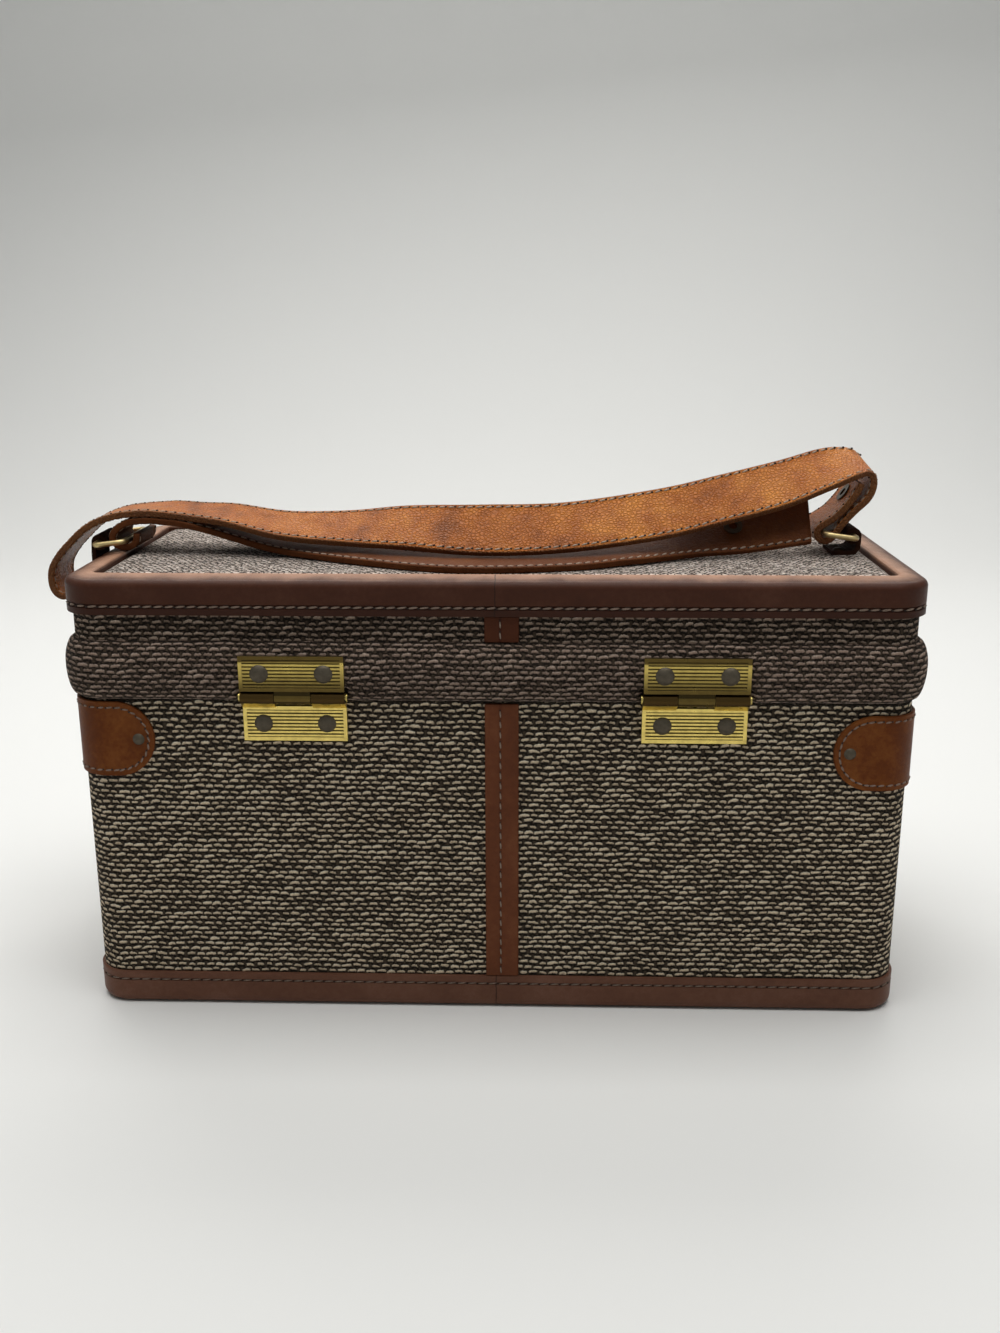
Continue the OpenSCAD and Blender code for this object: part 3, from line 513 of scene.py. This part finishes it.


# ---------------------------------------------------------------------------
# Leather bindings
# Smooth brown belting leather, moulded over the lid's and the base's edges and sewn along a groove with one
# line of dark waxed thread. The two ends of each meet in the middle of the back. The lid's binding is a
# darker copy of the leather, its darkness painted shade, with a painted highlight along its top edge and
# painted shade below its seam.
def leather(name, deep, mid, pale, roughness, grain, grain_depth, patchy=1.0):
    """Dyed leather: three tones in soft clouds, and fine wrinkles, darker, between its grains."""
    look = Look(name, roughness=roughness, specular=0.1)
    cloud = look.noise(38, 3, 0.6)
    small = look.noise(420, 3, 0.6)
    wrinkle = look.cells(grain).between(0.0, 0.16)
    tone = cloud * patchy * 0.8 + small * 0.45 - 0.12 * patchy
    shade = look.ramp(tone, (0.0, deep), (0.5, mid), (1.0, pale))
    look.set("Base Color", look.mix((1 - wrinkle) * 0.22, shade, deep))
    look.set("Roughness", roughness + (small - 0.5) * 0.25 + (1 - wrinkle) * 0.08)
    look.bump(wrinkle * 0.6 + small * 0.5, grain_depth * MM)
    return look


SMOOTH_LEATHER = (0.36, 1800, 0.05)
binding_leather = leather(
    "binding_leather", (0.05, 0.017, 0.009), (0.085, 0.030, 0.016), (0.14, 0.060, 0.036), *SMOOTH_LEATHER)
foot_leather = leather(
    "foot_leather", (0.08, 0.033, 0.020), (0.145, 0.064, 0.039), (0.22, 0.11, 0.075), *SMOOTH_LEATHER)
# The lid's binding: a darker copy of the binding leather, its darkness painted shade.
shaded_lid_binding = leather(
    "shaded_lid_binding", (0.036, 0.011, 0.0055), (0.062, 0.020, 0.010), (0.105, 0.042, 0.024), *SMOOTH_LEATHER)
shaded_lid_binding.set("Specular IOR Level", 0.12)


def dress(node, look):
    """Gives a frame node its finish."""
    target = nodes[node]
    if not target.material_slots:
        target.data.materials.append(look.material)
    for spot in target.material_slots:
        spot.material = look.material


HARD_ANGLE, SHARP_ANGLE, FLAT_ANGLE = (math.radians(a) for a in (30, 50, 1))


def softened(node, name, look, body, width, segments=3):
    """A copy of a frame node with its hard edges rounded, standing for the node."""
    mesh = nodes[node].data.copy()
    mesh.name = name
    bm = bmesh.new()
    bm.from_mesh(mesh)
    bmesh.ops.remove_doubles(bm, verts=bm.verts, dist=1e-6)
    bmesh.ops.dissolve_limit(bm, angle_limit=FLAT_ANGLE, verts=bm.verts, edges=bm.edges)
    sharp = [e for e in bm.edges if len(e.link_faces) == 2 and e.calc_face_angle() > HARD_ANGLE]
    bmesh.ops.bevel(
        bm, geom=sharp, offset=width * MM, segments=segments, affect="EDGES", clamp_overlap=True)
    bmesh.ops.recalc_face_normals(bm, faces=bm.faces)
    bm.to_mesh(mesh)
    bm.free()
    mesh.materials.clear()
    made = new_piece(name, mesh, look, body, [node])
    mesh.set_sharp_from_angle(angle=SHARP_ANGLE)
    even = made.modifiers.new("even", "WEIGHTED_NORMAL")
    even.keep_sharp = True


for look in (shaded_lid_binding, foot_leather):
    x, y, z = (axis / MM for axis in look.axes(look.place))
    shade = look.base_colour()
    if look is shaded_lid_binding:
        # Painted highlight along the top edge, and painted shade below the seam.
        painted_top_highlight = (z + (look.noise(90, 3) - 0.5) * 1.5).between(198.8, 201.0)
        shade = look.mix(painted_top_highlight * 0.75, shade, (0.56, 0.32, 0.21))
        shade_below_seam = 1 - z.between(188.7, 189.5)
        shade = look.mix(shade_below_seam * 0.5, shade, (0.022, 0.007, 0.004))
    off_joint = abs(x + 1.5 + (look.noise(300, 2) - 0.5) * 0.8)
    joint = (1 - off_joint.between(0.12, 0.38)) * y.between(0, 1)
    look.set("Base Color", look.mix(joint * 0.8, shade, (0.018, 0.008, 0.005)))
dress("lid_trim", shaded_lid_binding)
dress("base_trim", foot_leather)
softened("base_rim", "base_rim_binding", binding_leather, "base", 0.3, 2)


def stitch_tree():
    """Stitches on the points of a mesh: a spindle of thread along "along", its top towards "facing", over a
    small dark spindle at its end, painted shade standing for the needle hole."""
    tree = bpy.data.node_groups.new("stitches", "GeometryNodeTree")
    for name, kind in (
        ("Points", "Geometry"), ("Length", "Float"), ("Thickness", "Float"), ("Slant", "Float"),
        ("Hole", "Float"), ("Thread", "Material"), ("Dark", "Material"),
    ):
        tree.interface.new_socket(name, in_out="INPUT", socket_type="NodeSocket" + kind)
    tree.interface.new_socket("Stitches", in_out="OUTPUT", socket_type="NodeSocketGeometry")
    add, link = tree.nodes.new, tree.links.new
    source, result = add("NodeGroupInput"), add("NodeGroupOutput")

    def vector(name):
        made = add("GeometryNodeInputNamedAttribute")
        made.data_type = "FLOAT_VECTOR"
        made.inputs["Name"].default_value = name
        return made.outputs[0]

    lie = add("FunctionNodeAlignRotationToVector")
    lie.axis = "X"
    link(vector("along"), lie.inputs["Vector"])
    stand = add("FunctionNodeAlignRotationToVector")
    stand.axis, stand.pivot_axis = "Z", "X"
    link(lie.outputs[0], stand.inputs["Rotation"])
    link(vector("facing"), stand.inputs["Vector"])
    slant = add("FunctionNodeRotateRotation")
    slant.rotation_space = "LOCAL"
    turn = add("ShaderNodeCombineXYZ")
    link(source.outputs["Slant"], turn.inputs[2])
    turn_to = add("FunctionNodeEulerToRotation")
    link(turn.outputs[0], turn_to.inputs[0])
    link(stand.outputs[0], slant.inputs[0])
    link(turn_to.outputs[0], slant.inputs[1])

    def spindle(segments, rings, size, offset, material):
        """A stretched ball on each point, moved along it by a share of the stitch's length."""
        ball = add("GeometryNodeMeshUVSphere")
        for key, value in (("Segments", segments), ("Rings", rings), ("Radius", 0.5)):
            ball.inputs[key].default_value = value
        shape = add("GeometryNodeTransform")
        scale = add("ShaderNodeCombineXYZ")
        for index, socket in enumerate(size):
            link(socket, scale.inputs[index])
        link(ball.outputs[0], shape.inputs["Geometry"])
        link(scale.outputs[0], shape.inputs["Scale"])
        if offset:
            move = add("ShaderNodeCombineXYZ")
            part = add("ShaderNodeMath")
            part.operation = "MULTIPLY"
            part.inputs[1].default_value = offset
            link(source.outputs["Length"], part.inputs[0])
            link(part.outputs[0], move.inputs[0])
            link(move.outputs[0], shape.inputs["Translation"])
        paint = add("GeometryNodeSetMaterial")
        link(shape.outputs[0], paint.inputs["Geometry"])
        link(material, paint.inputs["Material"])
        put = add("GeometryNodeInstanceOnPoints")
        link(source.outputs["Points"], put.inputs["Points"])
        link(paint.outputs[0], put.inputs["Instance"])
        link(slant.outputs[0], put.inputs["Rotation"])
        return put.outputs[0]

    long, thick, hole, thread, dark = (
        source.outputs[name] for name in ("Length", "Thickness", "Hole", "Thread", "Dark"))
    join = add("GeometryNodeJoinGeometry")
    link(spindle(8, 4, (long, thick, thick), 0, thread), join.inputs[0])
    link(spindle(6, 4, (hole, hole, thick), 0.56, dark), join.inputs[0])
    real = add("GeometryNodeRealizeInstances")
    link(join.outputs[0], real.inputs[0])
    link(real.outputs[0], result.inputs[0])
    return tree


stitches = stitch_tree()
# Near-black finish for the spindle at each stitch's end: painted shade for the needle hole.
hole_shade_look = Look("stitch_hole_shade", roughness=0.9, colour=(0.02, 0.012, 0.008))


def thread_look(name, deep, pale):
    """Waxed, twisted thread."""
    look = Look(name, roughness=0.75, specular=0.25)
    twist = look.noise(2600, 3, 0.6)
    look.set("Base Color", look.ramp(twist, (0.2, deep), (0.8, pale)))
    look.bump(twist, 0.12 * MM)
    return look


def sew(name, line, body, thread, length, thickness, slant, hole):
    """Stitches at each (point, along, facing) of a line; sizes in mm, slant in radians."""
    mesh = bpy.data.meshes.new(name)
    mesh.from_pydata([p for p, _, _ in line], [], [])
    for key, index in (("along", 1), ("facing", 2)):
        layer = mesh.attributes.new(key, "FLOAT_VECTOR", "POINT")
        for spot, row in zip(layer.data, line):
            spot.vector = row[index]
    carrier = bpy.data.objects.new(name + "_line", mesh)
    bpy.context.scene.collection.objects.link(carrier)
    modifier = carrier.modifiers.new("stitches", "NODES")
    modifier.node_group = stitches
    sizes = {"Length": length * MM, "Thickness": thickness * MM, "Slant": slant, "Hole": hole * MM,
             "Thread": thread.material, "Dark": hole_shade_look.material}
    for item in stitches.interface.items_tree:
        if item.in_out == "INPUT" and item.name in sizes:
            modifier[item.identifier] = sizes[item.name]
    carrier.update_tag()
    sewn = carrier.evaluated_get(bpy.context.evaluated_depsgraph_get())
    made = bpy.data.meshes.new_from_object(sewn)
    made.name = name
    bpy.data.objects.remove(carrier)
    new_piece(name, made, thread, body)


STITCH_PITCH = 4.7
LID_SEAM, BASE_SEAM = (1.9, 188.1), (0.85, 12.0)


def round_line(out, z):
    """A line of stitches round the whole case."""
    count = round(ROUND / STITCH_PITCH)
    rows = []
    for i in range(count):
        s = ROUND * i / count
        p, n = around(s, out, z)
        q, _ = around(s + 0.5, out, z)
        rows.append((p, (q - p).normalized(), n))
    return rows


dark_thread = thread_look("dark_thread", (0.08, 0.05, 0.036), (0.36, 0.265, 0.205))
for body, seam, length, thickness, hole in (
    ("lid", LID_SEAM, 4.4, 1.15, 0.9), ("base", BASE_SEAM, 4.3, 0.95, 0.8),
):
    name = body + "_trim_stitches"
    sew(name, round_line(*seam), body, dark_thread, length, thickness, 0.14, hole)


# ---------------------------------------------------------------------------
# Centre strips
# Narrow strips of red-brown leather down the middle of the back and the front, glued over the tweed
# seam and sewn once down the middle.
STRIP_X, FOOT_GAP, HEAD_GAP = -3.7, 3, 2
strip_leather = leather(
    "strip_leather", (0.065, 0.019, 0.008), (0.145, 0.045, 0.018), (0.25, 0.095, 0.042), 0.5, 1500, 0.08)
x, _, z = (axis / MM for axis in strip_leather.axes(strip_leather.place))
# Painted shade: darker on the lid, under the binding's overhang, and along the groove of the stitches.
lid_shade, seam_groove_shade = z.between(146, 172), 1 - abs(x - STRIP_X).between(0.3, 0.9)
strip_leather.set("Base Color", strip_leather.mix(
    lid_shade * 0.7 + seam_groove_shade * 0.3, strip_leather.base_colour(), (0.045, 0.011, 0.004)))
pale_thread = thread_look("pale_thread", (0.12, 0.085, 0.065), (0.40, 0.31, 0.24))
for body in ("base", "lid"):
    line = []
    for node in ("back_strip_" + body, "front_strip_" + body):
        softened(node, node + "_leather", strip_leather, body, 0.35)
        low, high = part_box(node)
        back = 1 if high.y > 0 else -1
        face_y = high.y if back > 0 else low.y
        z = low.z + FOOT_GAP * MM
        while z < high.z - HEAD_GAP * MM:
            seat = Vector((STRIP_X * MM, face_y, z))
            line.append((seat, Vector((0, 0, 1)), Vector((0, back, 0))))
            z += STITCH_PITCH * MM
    sew(f"{body}_strip_stitches", line, body, pale_thread, 3.2, 0.75, 0.1, 0.8)


# ---------------------------------------------------------------------------
# Corner bands
# Tan leather bands with round tips, wrapped round the base's ends under the lid, sewn all round near
# the edge and riveted at each tip.
patch_leather = leather(
    "patch_leather", (0.045, 0.010, 0.0022), (0.130, 0.033, 0.0045), (0.29, 0.098, 0.020),
    0.42, 1300, 0.07, patchy=1.3)
PATCH_Z, PATCH_DROP, PATCH_R, PATCH_TIP, PATCH_T = 128.7, 4.3, 17.0, 35.5, 1.6
SEAM_IN, SEAM_PITCH = 2.6, 3.6
near_s = WALL_X - PATCH_TIP + PATCH_R
far_s = 2 * SIDE_MID - near_s
seam_r = PATCH_R - SEAM_IN
straight_count = round((far_s - near_s) / SEAM_PITCH)
tip_count = round(math.pi * seam_r / SEAM_PITCH)
outline = []
for start, end, way in ((near_s, far_s, 1), (far_s, near_s, -1)):
    for i in range(straight_count):
        outline.append((start + way * SEAM_PITCH * (i + 0.5), PATCH_Z + way * seam_r))
    for i in range(tip_count):
        a = way * math.pi / 2 - math.pi * (i + 0.5) / tip_count
        outline.append((end + seam_r * math.cos(a), PATCH_Z + seam_r * math.sin(a)))
for side, way, drop in (("left", 1, 0), ("right", -1, PATCH_DROP)):
    node = "side_band_" + side
    softened(node, node + "_leather", patch_leather, "base", 0.5)
    line = []
    for (s0, z0), (s1, z1) in zip(outline, outline[1:] + outline[:1]):
        p, n = around(way * s0, PATCH_T, z0 - drop)
        q, _ = around(way * s1, PATCH_T, z1 - drop)
        line.append((p, (q - p).normalized(), n))
    sew(node + "_stitches", line, "base", dark_thread, 2.8, 0.9, 0.15, 1.0)


# ---------------------------------------------------------------------------
# Metal fittings
# Pressed brass, ribbed on the hinges and darker in the grooves; dark domed rivets; rings of old brass wire.
# The leaves and plates are riveted on, the hasp and the hinges turn on pins. The hinge leaves carry painted
# light and shade, set out below.
def metal(name, bright, dull, roughness, scale=260, metallic=1.0):
    """Worn metal, stained in clouds and finely scratched."""
    look = Look(name, roughness=roughness, metallic=metallic)
    cloud = look.noise(scale, 4, 0.6)
    fine = look.noise(2400, 2, 0.5, stretch=(0.3, 1, 1))
    stain = (cloud * 1.2 + fine * 0.25 - 0.25).between(0.25, 0.95)
    look.set("Base Color", look.mix(stain * 0.5, bright, dull))
    look.set("Roughness", roughness + cloud * 0.15)
    look.bump(fine * 0.4 + cloud * 0.6, 0.03 * MM)
    return look


hinge_brass = metal("hinge_brass", (0.52, 0.41, 0.13), (0.16, 0.11, 0.035), 0.2)
rivet_metal = metal("rivet_metal", (0.085, 0.070, 0.050), (0.028, 0.022, 0.015), 0.36, 500, 0.85)
ring_brass = metal("ring_brass", (0.50, 0.39, 0.19), (0.14, 0.09, 0.045), 0.3, 300)
for node in (
    "patch_rivets", "hinge_rivets_base", "hinge_rivets_lid", "lock_rivets", "hasp_rivets", "chape_rivets",
    "strap_eyelets",
):
    dress(node, rivet_metal)
for node in ("hinge_pins", "hasp_pin"):
    dress(node, hinge_brass)
for node in ("ring_left", "ring_right"):
    dress(node, ring_brass)
plate_brass = metal("plate_brass", (0.36, 0.27, 0.085), (0.13, 0.085, 0.028), 0.3)
for node, body, width, finish in (
    ("lock_plate", "base", 0.3, plate_brass), ("lock_case", "base", 0.5, hinge_brass),
    ("lock_bolt", "bolt", 0.25, plate_brass), ("key_cylinder", "key", 0.2, plate_brass),
    ("hasp_plate", "lid", 0.3, plate_brass), ("hasp", "hasp", 0.25, hinge_brass),
):
    softened(node, node + "_brass", finish, body, width)
# Painted light on the hinge leaves: the base leaves are a lighter copy of the same brass; on the lid leaves
# the top rim is a painted dark reflection and the lower part painted shade; on the base leaves the knuckles
# are painted shade and painted dark reflection.
for body, groove_y, bright in (("base", 72.9, (0.80, 0.62, 0.18)), ("lid", 78.0, (0.62, 0.47, 0.13))):
    leaf_brass = metal(f"leaf_brass_{body}", bright, (0.24, 0.16, 0.05), 0.22)
    _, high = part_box(f"hinge_leaf_{body}_left")
    _, y, z = (axis / MM for axis in leaf_brass.axes(leaf_brass.place))
    groove = 1 - y.between(groove_y + 0.05, groove_y + 0.3)
    on_plate = y.between(groove_y - 0.2, groove_y - 0.1)
    top = high.z / MM
    if body == "lid":
        rim, foot = z.between(top - 3.0, top - 2.4), 1 - z.between(BAND_LOW + 5.3, top - 3.2)
        shaded = rim * 0.9 + foot * 0.9
    else:
        shaded = z.between(top - 5.8, top - 5.0)
    shade = leaf_brass.mix(shaded, leaf_brass.base_colour(), (0.055, 0.033, 0.011))
    shade = leaf_brass.mix(groove * on_plate * 0.93, shade, (0.025, 0.018, 0.007))
    leaf_brass.set("Base Color", shade)
    for side in ("left", "right"):
        node = f"hinge_leaf_{body}_{side}"
        softened(node, node + "_brass", leaf_brass, body, 0.14, 2)


# ---------------------------------------------------------------------------
# Chapes
# Dark leather tabs that hold the strap's rings: each is rolled round its ring's bar and riveted to
# the lid.
chape_leather = leather(
    "chape_leather", (0.014, 0.006, 0.004), (0.030, 0.012, 0.007), (0.06, 0.026, 0.016), 0.7, 1400, 0.06)
chape_leather.set("Specular IOR Level", 0.03)
for side in ("left", "right"):
    softened("chape_" + side, f"chape_{side}_leather", chape_leather, "lid", 0.4)


# ---------------------------------------------------------------------------
# Strap
# Two tan ribbons, each of two leathers sewn together along both edges. The upper one folds outside the
# left wall and rolls round the right ring; the lower one loops round the left ring. A path's rows are
# x, y, height over the lid's edge and sideways tilt in degrees.
STRAP_W, STRAP_T, LID_TOP = 28.0, 3.0, 199.2
upper_path = [
    (199.3, 0, -10.5, 0), (198.8, 0, -14.5, 0), (200.2, 0, -18.4, 0), (204.2, 0, -20.4, 0),
    (207.7, 0, -18, 0), (209, 0, -13.2, 0), (208.1, 0, -7, 0), (204.2, 0, -0.8, 0),
    (198.9, 0, 4.8, 0), (192.6, 0, 10.6, 0), (186, 0, 14.6, 0),
    (177, 0, 17.6, 0), (167, 0, 18.9, 0), (160, 0.2, 19.2, 1), (154, 0.6, 19.2, 3), (147, 1.2, 18.8, 4),
    (140, 2, 18.2, 5), (124, 5, 17.2, 9), (98, 11, 13.4, 15), (68, 17, 13.2, 22), (40, 24, 14.7, 32),
    (6, 29, 14.5, 41), (-32, 27, 15.5, 40), (-74, 20, 20.4, 42), (-102, 12, 25.6, 42),
    (-130, 8, 32.2, 40), (-150, 4, 38.4, 33), (-163, 1.6, 41.2, 20), (-168.6, 0.4, 40.2, 10),
    (-170.8, 0, 36.2, 4), (-170.6, 0, 30.5, 0), (-168.4, 0, 26, 0), (-163.6, 0, 21.2, 0),
    (-158.6, 0, 15.6, 0), (-155.6, 0, 11.2, 0), (-153.3, 0, 8.3, 0), (-150.7, 0, 7.2, 0),
    (-147.9, 0, 8.2, 0), (-146.9, 0, 10.8, 0), (-147.9, 0, 13.3, 0), (-151.4, 0, 15.8, 0),
    (-155.4, 0, 18.6, 0), (-159.4, 0, 23, 0), (-163.6, 0, 29, 0), (-165.4, 0, 33.4, 0),
]
lower_path = [
    (-144.3, 5.1, 17, 50), (-115, 8.5, 13.1, 48), (-90, 12.4, 10, 35), (-61, 25.2, 4.7, 11),
    (-34, 37, 2.4, 3), (5, 43, 2.1, 2), (32, 39, 2.2, 2), (57, 28, 2.6, 3), (88, 12, 3.4, 5),
    (106, 5, 5, 4), (120, 2, 8.2, 3), (131, 1.4, 11.6, 4), (140, 2, 14.4, 5), (147, 1.2, 15.5, 4),
    (154, 0.6, 15.9, 3), (160, 0.2, 15.9, 1), (167, 0, 15.4, 0), (172, 0, 14.2, 0), (176.2, 0, 11.6, 0),
    (178.4, 0, 8, 0), (176.9, 0, 4.6, 0), (173.9, 0, 3.3, 0), (170.4, 0, 3.5, 0), (167.6, 0, 5.7, 0),
    (166.8, 0, 9.4, 0),
]


def path_point(path, u):
    """Smooth [x, y, z, tilt] at station u."""
    last = len(path) - 1
    i = min(int(u), last - 1)
    t = u - i
    a, b, c, d = (path[k] for k in (max(i - 1, 0), i, i + 1, min(i + 2, last)))
    return [0.5 * (2 * b[k] + (c[k] - a[k]) * t + (2 * a[k] - 5 * b[k] + 4 * c[k] - d[k]) * t * t
                   + (3 * b[k] - a[k] - 3 * c[k] + d[k]) * t ** 3) for k in range(4)]


def path_frame(path, u):
    """Centre, direction along, direction across and face normal at station u, in mm."""
    x, y, z, tilt = path_point(path, u)
    a, b = path_point(path, max(u - 0.2, 0)), path_point(path, min(u + 0.2, len(path) - 1))
    along = (Vector(b[:3]) - Vector(a[:3])).normalized()
    across = Vector((0, math.cos(math.radians(tilt)), -math.sin(math.radians(tilt))))
    return Vector((x, y, z + LID_TOP)), along, across, along.cross(across).normalized()


half_w, half_t = STRAP_W / 2, STRAP_T / 2
SEAM_AT, SEAM_FLOOR, EDGE_AT = 0.865, 0.86, 0.985
half_face = [
    (0.35, 1.0), (0.7, 0.99), (0.82, 0.95), (SEAM_AT, SEAM_FLOOR), (0.91, 0.96), (0.96, 0.97), (0.99, 0.80),
    (1, 0.50),
]
face_line = [(-x, y) for x, y in reversed(half_face)] + [(0, 1.0)] + half_face
profile = [(x * half_w, y * half_t) for x, y in face_line]
profile += [(half_w * EDGE_AT, 0.0)] + [(-x, -y) for x, y in profile] + [(-half_w * EDGE_AT, 0.0)]
STRAP_STEPS = 8

strap_leather = Look("strap_leather", roughness=0.45, specular=0.2)
u, v, _ = strap_leather.axes(strap_leather.uv)
cloud = strap_leather.noise(30, 3, 0.6)
blotch = strap_leather.noise(120, 3, 0.6)
pebble = strap_leather.cells(620).between(0.0, 0.26)
shade = strap_leather.ramp(
    cloud * 1.15 + blotch * 0.55 - 0.36,
    (0.0, (0.13, 0.030, 0.004)), (0.42, (0.45, 0.128, 0.014)), (1.0, (0.76, 0.29, 0.048)))
shade = strap_leather.mix((1 - pebble) * 0.35, shade, (0.15, 0.042, 0.008))
edge = abs(v - 0.5).between(0.462, 0.495)
strap_leather.set("Base Color", strap_leather.mix(edge * 0.85, shade, (0.10, 0.040, 0.015)))
strap_leather.set("Roughness", 0.28 + blotch * 0.24 + edge * 0.2)
strap_leather.bump(pebble * 0.8 + blotch * 0.4, 0.5 * MM)
strap_thread = thread_look("strap_thread", (0.20, 0.14, 0.10), (0.54, 0.43, 0.34))
# The lower ribbon's leather: a darker copy of the strap leather, painted shade where the upper ribbon shades
# it.
shaded_under_leather = leather(
    "strap_shaded_under_leather", (0.05, 0.014, 0.004), (0.12, 0.036, 0.010), (0.24, 0.085, 0.024), 0.55, 620, 0.2)

EDGE_PITCH, END_GAP = 4.3, 2.0
for name, path, node, finish in (
    ("strap_upper", upper_path, "strap", strap_leather),
    ("strap_under", lower_path, "strap_lower", shaded_under_leather),
):
    last = len(path) - 1
    rings, run = [], [0.0]
    bm = bmesh.new()
    uv = bm.loops.layers.uv.new("UVMap")
    for i in range(last * STRAP_STEPS + 1):
        centre, along, across, normal = path_frame(path, i / STRAP_STEPS)
        if rings:
            run.append(run[-1] + (centre - before).length)
        before = centre
        rings.append([bm.verts.new((centre + across * x + normal * y) * MM) for x, y in profile])
    for i in range(len(rings) - 1):
        a, b = rings[i], rings[i + 1]
        for j in range(len(profile)):
            k = (j + 1) % len(profile)
            face = bm.faces.new((a[j], a[k], b[k], b[j]))
            for loop, (r, p) in zip(face.loops, ((i, j), (i, k), (i + 1, k), (i + 1, j))):
                loop[uv].uv = (run[r] * MM, profile[p][0] / STRAP_W + 0.5)
    bm.faces.new(rings[0])
    bm.faces.new(list(reversed(rings[-1])))
    bmesh.ops.recalc_face_normals(bm, faces=bm.faces)
    strap_mesh = bpy.data.meshes.new(name)
    bm.to_mesh(strap_mesh)
    bm.free()
    new_piece(name, strap_mesh, finish, "strap", [node])
    line = []
    for side in (-1, 1):
        for face_side in (-1, 1):
            at, index = END_GAP, 0
            while at < run[-1] - END_GAP:
                while run[index + 1] < at:
                    index += 1
                share = (at - run[index]) / (run[index + 1] - run[index])
                centre, along, across, normal = path_frame(path, (index + share) / STRAP_STEPS)
                seat = centre + across * side * half_w * SEAM_AT
                seat += normal * face_side * (half_t * SEAM_FLOOR + 0.1)
                line.append((seat * MM, along, normal * face_side))
                at += EDGE_PITCH
    sew(name + "_stitches", line, "strap", strap_thread, 3.2, 0.95, 0.2, 1.2)


# ---------------------------------------------------------------------------
# Inside and underside
# Plain woven lining glued into both shells, a gathered pocket, a leather-covered lip, a mirror in a
# leather frame, bare wood edges and a dark fibre board below. None of it shows in the photograph.
LINING_THREAD = 0.7
per_thread = math.pi / (LINING_THREAD * MM)
lining_fabric = Look("lining_fabric", roughness=0.85, sheen=0.2, specular=0.25)
x, y, z = lining_fabric.axes(lining_fabric.place)
warp = abs(((x + y) * per_thread).sine())
weft = abs((z * per_thread).sine())
cloud = lining_fabric.noise(60, 3)
shade = lining_fabric.ramp(cloud, (0.3, (0.36, 0.25, 0.17)), (0.7, (0.47, 0.35, 0.25)))
lining_fabric.set("Base Color", lining_fabric.mix((1 - warp * weft) * 0.3, shade, (0.22, 0.15, 0.10)))
lining_fabric.bump(warp + weft, 0.08 * MM)
dress("base_lining", lining_fabric)
dress("lid_lining", lining_fabric)

box_wood = Look("box_wood", roughness=0.7, specular=0.3)
grain = box_wood.noise(60, 4, 0.6, stretch=(0.15, 1, 1))
box_wood.set("Base Color", box_wood.ramp(grain, (0.3, (0.42, 0.30, 0.19)), (0.7, (0.60, 0.46, 0.31))))
box_wood.bump(grain, 0.1 * MM)
dress("base_box", box_wood)
dress("lid_box", box_wood)

lip_leather = leather(
    "lip_leather", (0.07, 0.03, 0.02), (0.13, 0.06, 0.04), (0.20, 0.11, 0.08), 0.5, 1500, 0.06)
softened("base_lip", "base_lip_leather", lip_leather, "base", 0.6)
softened("mirror_frame", "mirror_frame_leather", lip_leather, "lid", 0.6)

mirror_glass = Look("mirror_glass", roughness=0.03, metallic=1.0, colour=(0.86, 0.88, 0.89))
mirror_glass.set("Roughness", mirror_glass.noise(40, 2).between(0.5, 0.8) * 0.03 + 0.015)
softened("mirror", "mirror_plate", mirror_glass, "lid", 0.5)

fibre_board = Look("fibre_board", roughness=0.85, specular=0.25)
fleck = fibre_board.noise(900, 4, 0.7)
fibre_board.set("Base Color", fibre_board.ramp(fleck, (0.3, (0.03, 0.022, 0.018)), (0.8, (0.09, 0.07, 0.06))))
fibre_board.bump(fleck, 0.15 * MM)
dress("bottom_panel", fibre_board)


# ---------------------------------------------------------------------------
# Gathered pocket
# A strip of the lining's cloth on the back wall, gathered along its foot and drawn up at its mouth by
# an elastic in its hem. Its folds are deepest at the foot and at the mouth.
POCKET_W, POCKET_FULL, POCKET_TALL, GATHERS = 250.0, 330.0, 82, 26
OFF_WALL, FOLD, COLUMNS_PER_GATHER = 0.9, 1.3, 10
low, high = (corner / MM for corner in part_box("base_pocket"))
columns, levels = GATHERS * COLUMNS_PER_GATHER, 24
bm = bmesh.new()
grid = []
for i in range(columns + 1):
    t = i / columns
    column = []
    for j in range(levels + 1):
        h = j / levels
        belly = 1.2 + 2.6 * math.sin(math.pi * min(1, h * 1.02)) ** 0.7
        wave = math.sin(t * GATHERS * 2 * math.pi + 1.3 * math.sin(h * 3 + t * 9))
        deep = belly + FOLD * wave * (0.55 + 0.45 * abs(2 * h - 1))
        deep *= min(1, min(t, 1 - t) * 18 + 0.15)
        x = -POCKET_W / 2 + POCKET_W * t
        z = low.z + 0.6 + (high.z - low.z) * 0.985 * h
        column.append(bm.verts.new(Vector((x, high.y - OFF_WALL - deep, z)) * MM))
    grid.append(column)
for i in range(columns):
    for j in range(levels):
        bm.faces.new((grid[i][j], grid[i][j + 1], grid[i + 1][j + 1], grid[i + 1][j]))
pocket_mesh = bpy.data.meshes.new("pocket_cloth")
bm.to_mesh(pocket_mesh)
bm.free()
pocket_fabric = Look("pocket_fabric", roughness=0.85, sheen=0.2, specular=0.25)
x, _, z = pocket_fabric.axes(pocket_fabric.place)
weave = abs((x * per_thread).sine()) * abs((z * per_thread).sine())
pocket_fabric.set("Base Color", pocket_fabric.mix((1 - weave) * 0.3, (0.44, 0.32, 0.23), (0.22, 0.15, 0.10)))
pocket_fabric.bump(weave, 0.08 * MM)
pocket = new_piece("pocket_cloth", pocket_mesh, pocket_fabric, "base", ["base_pocket"])
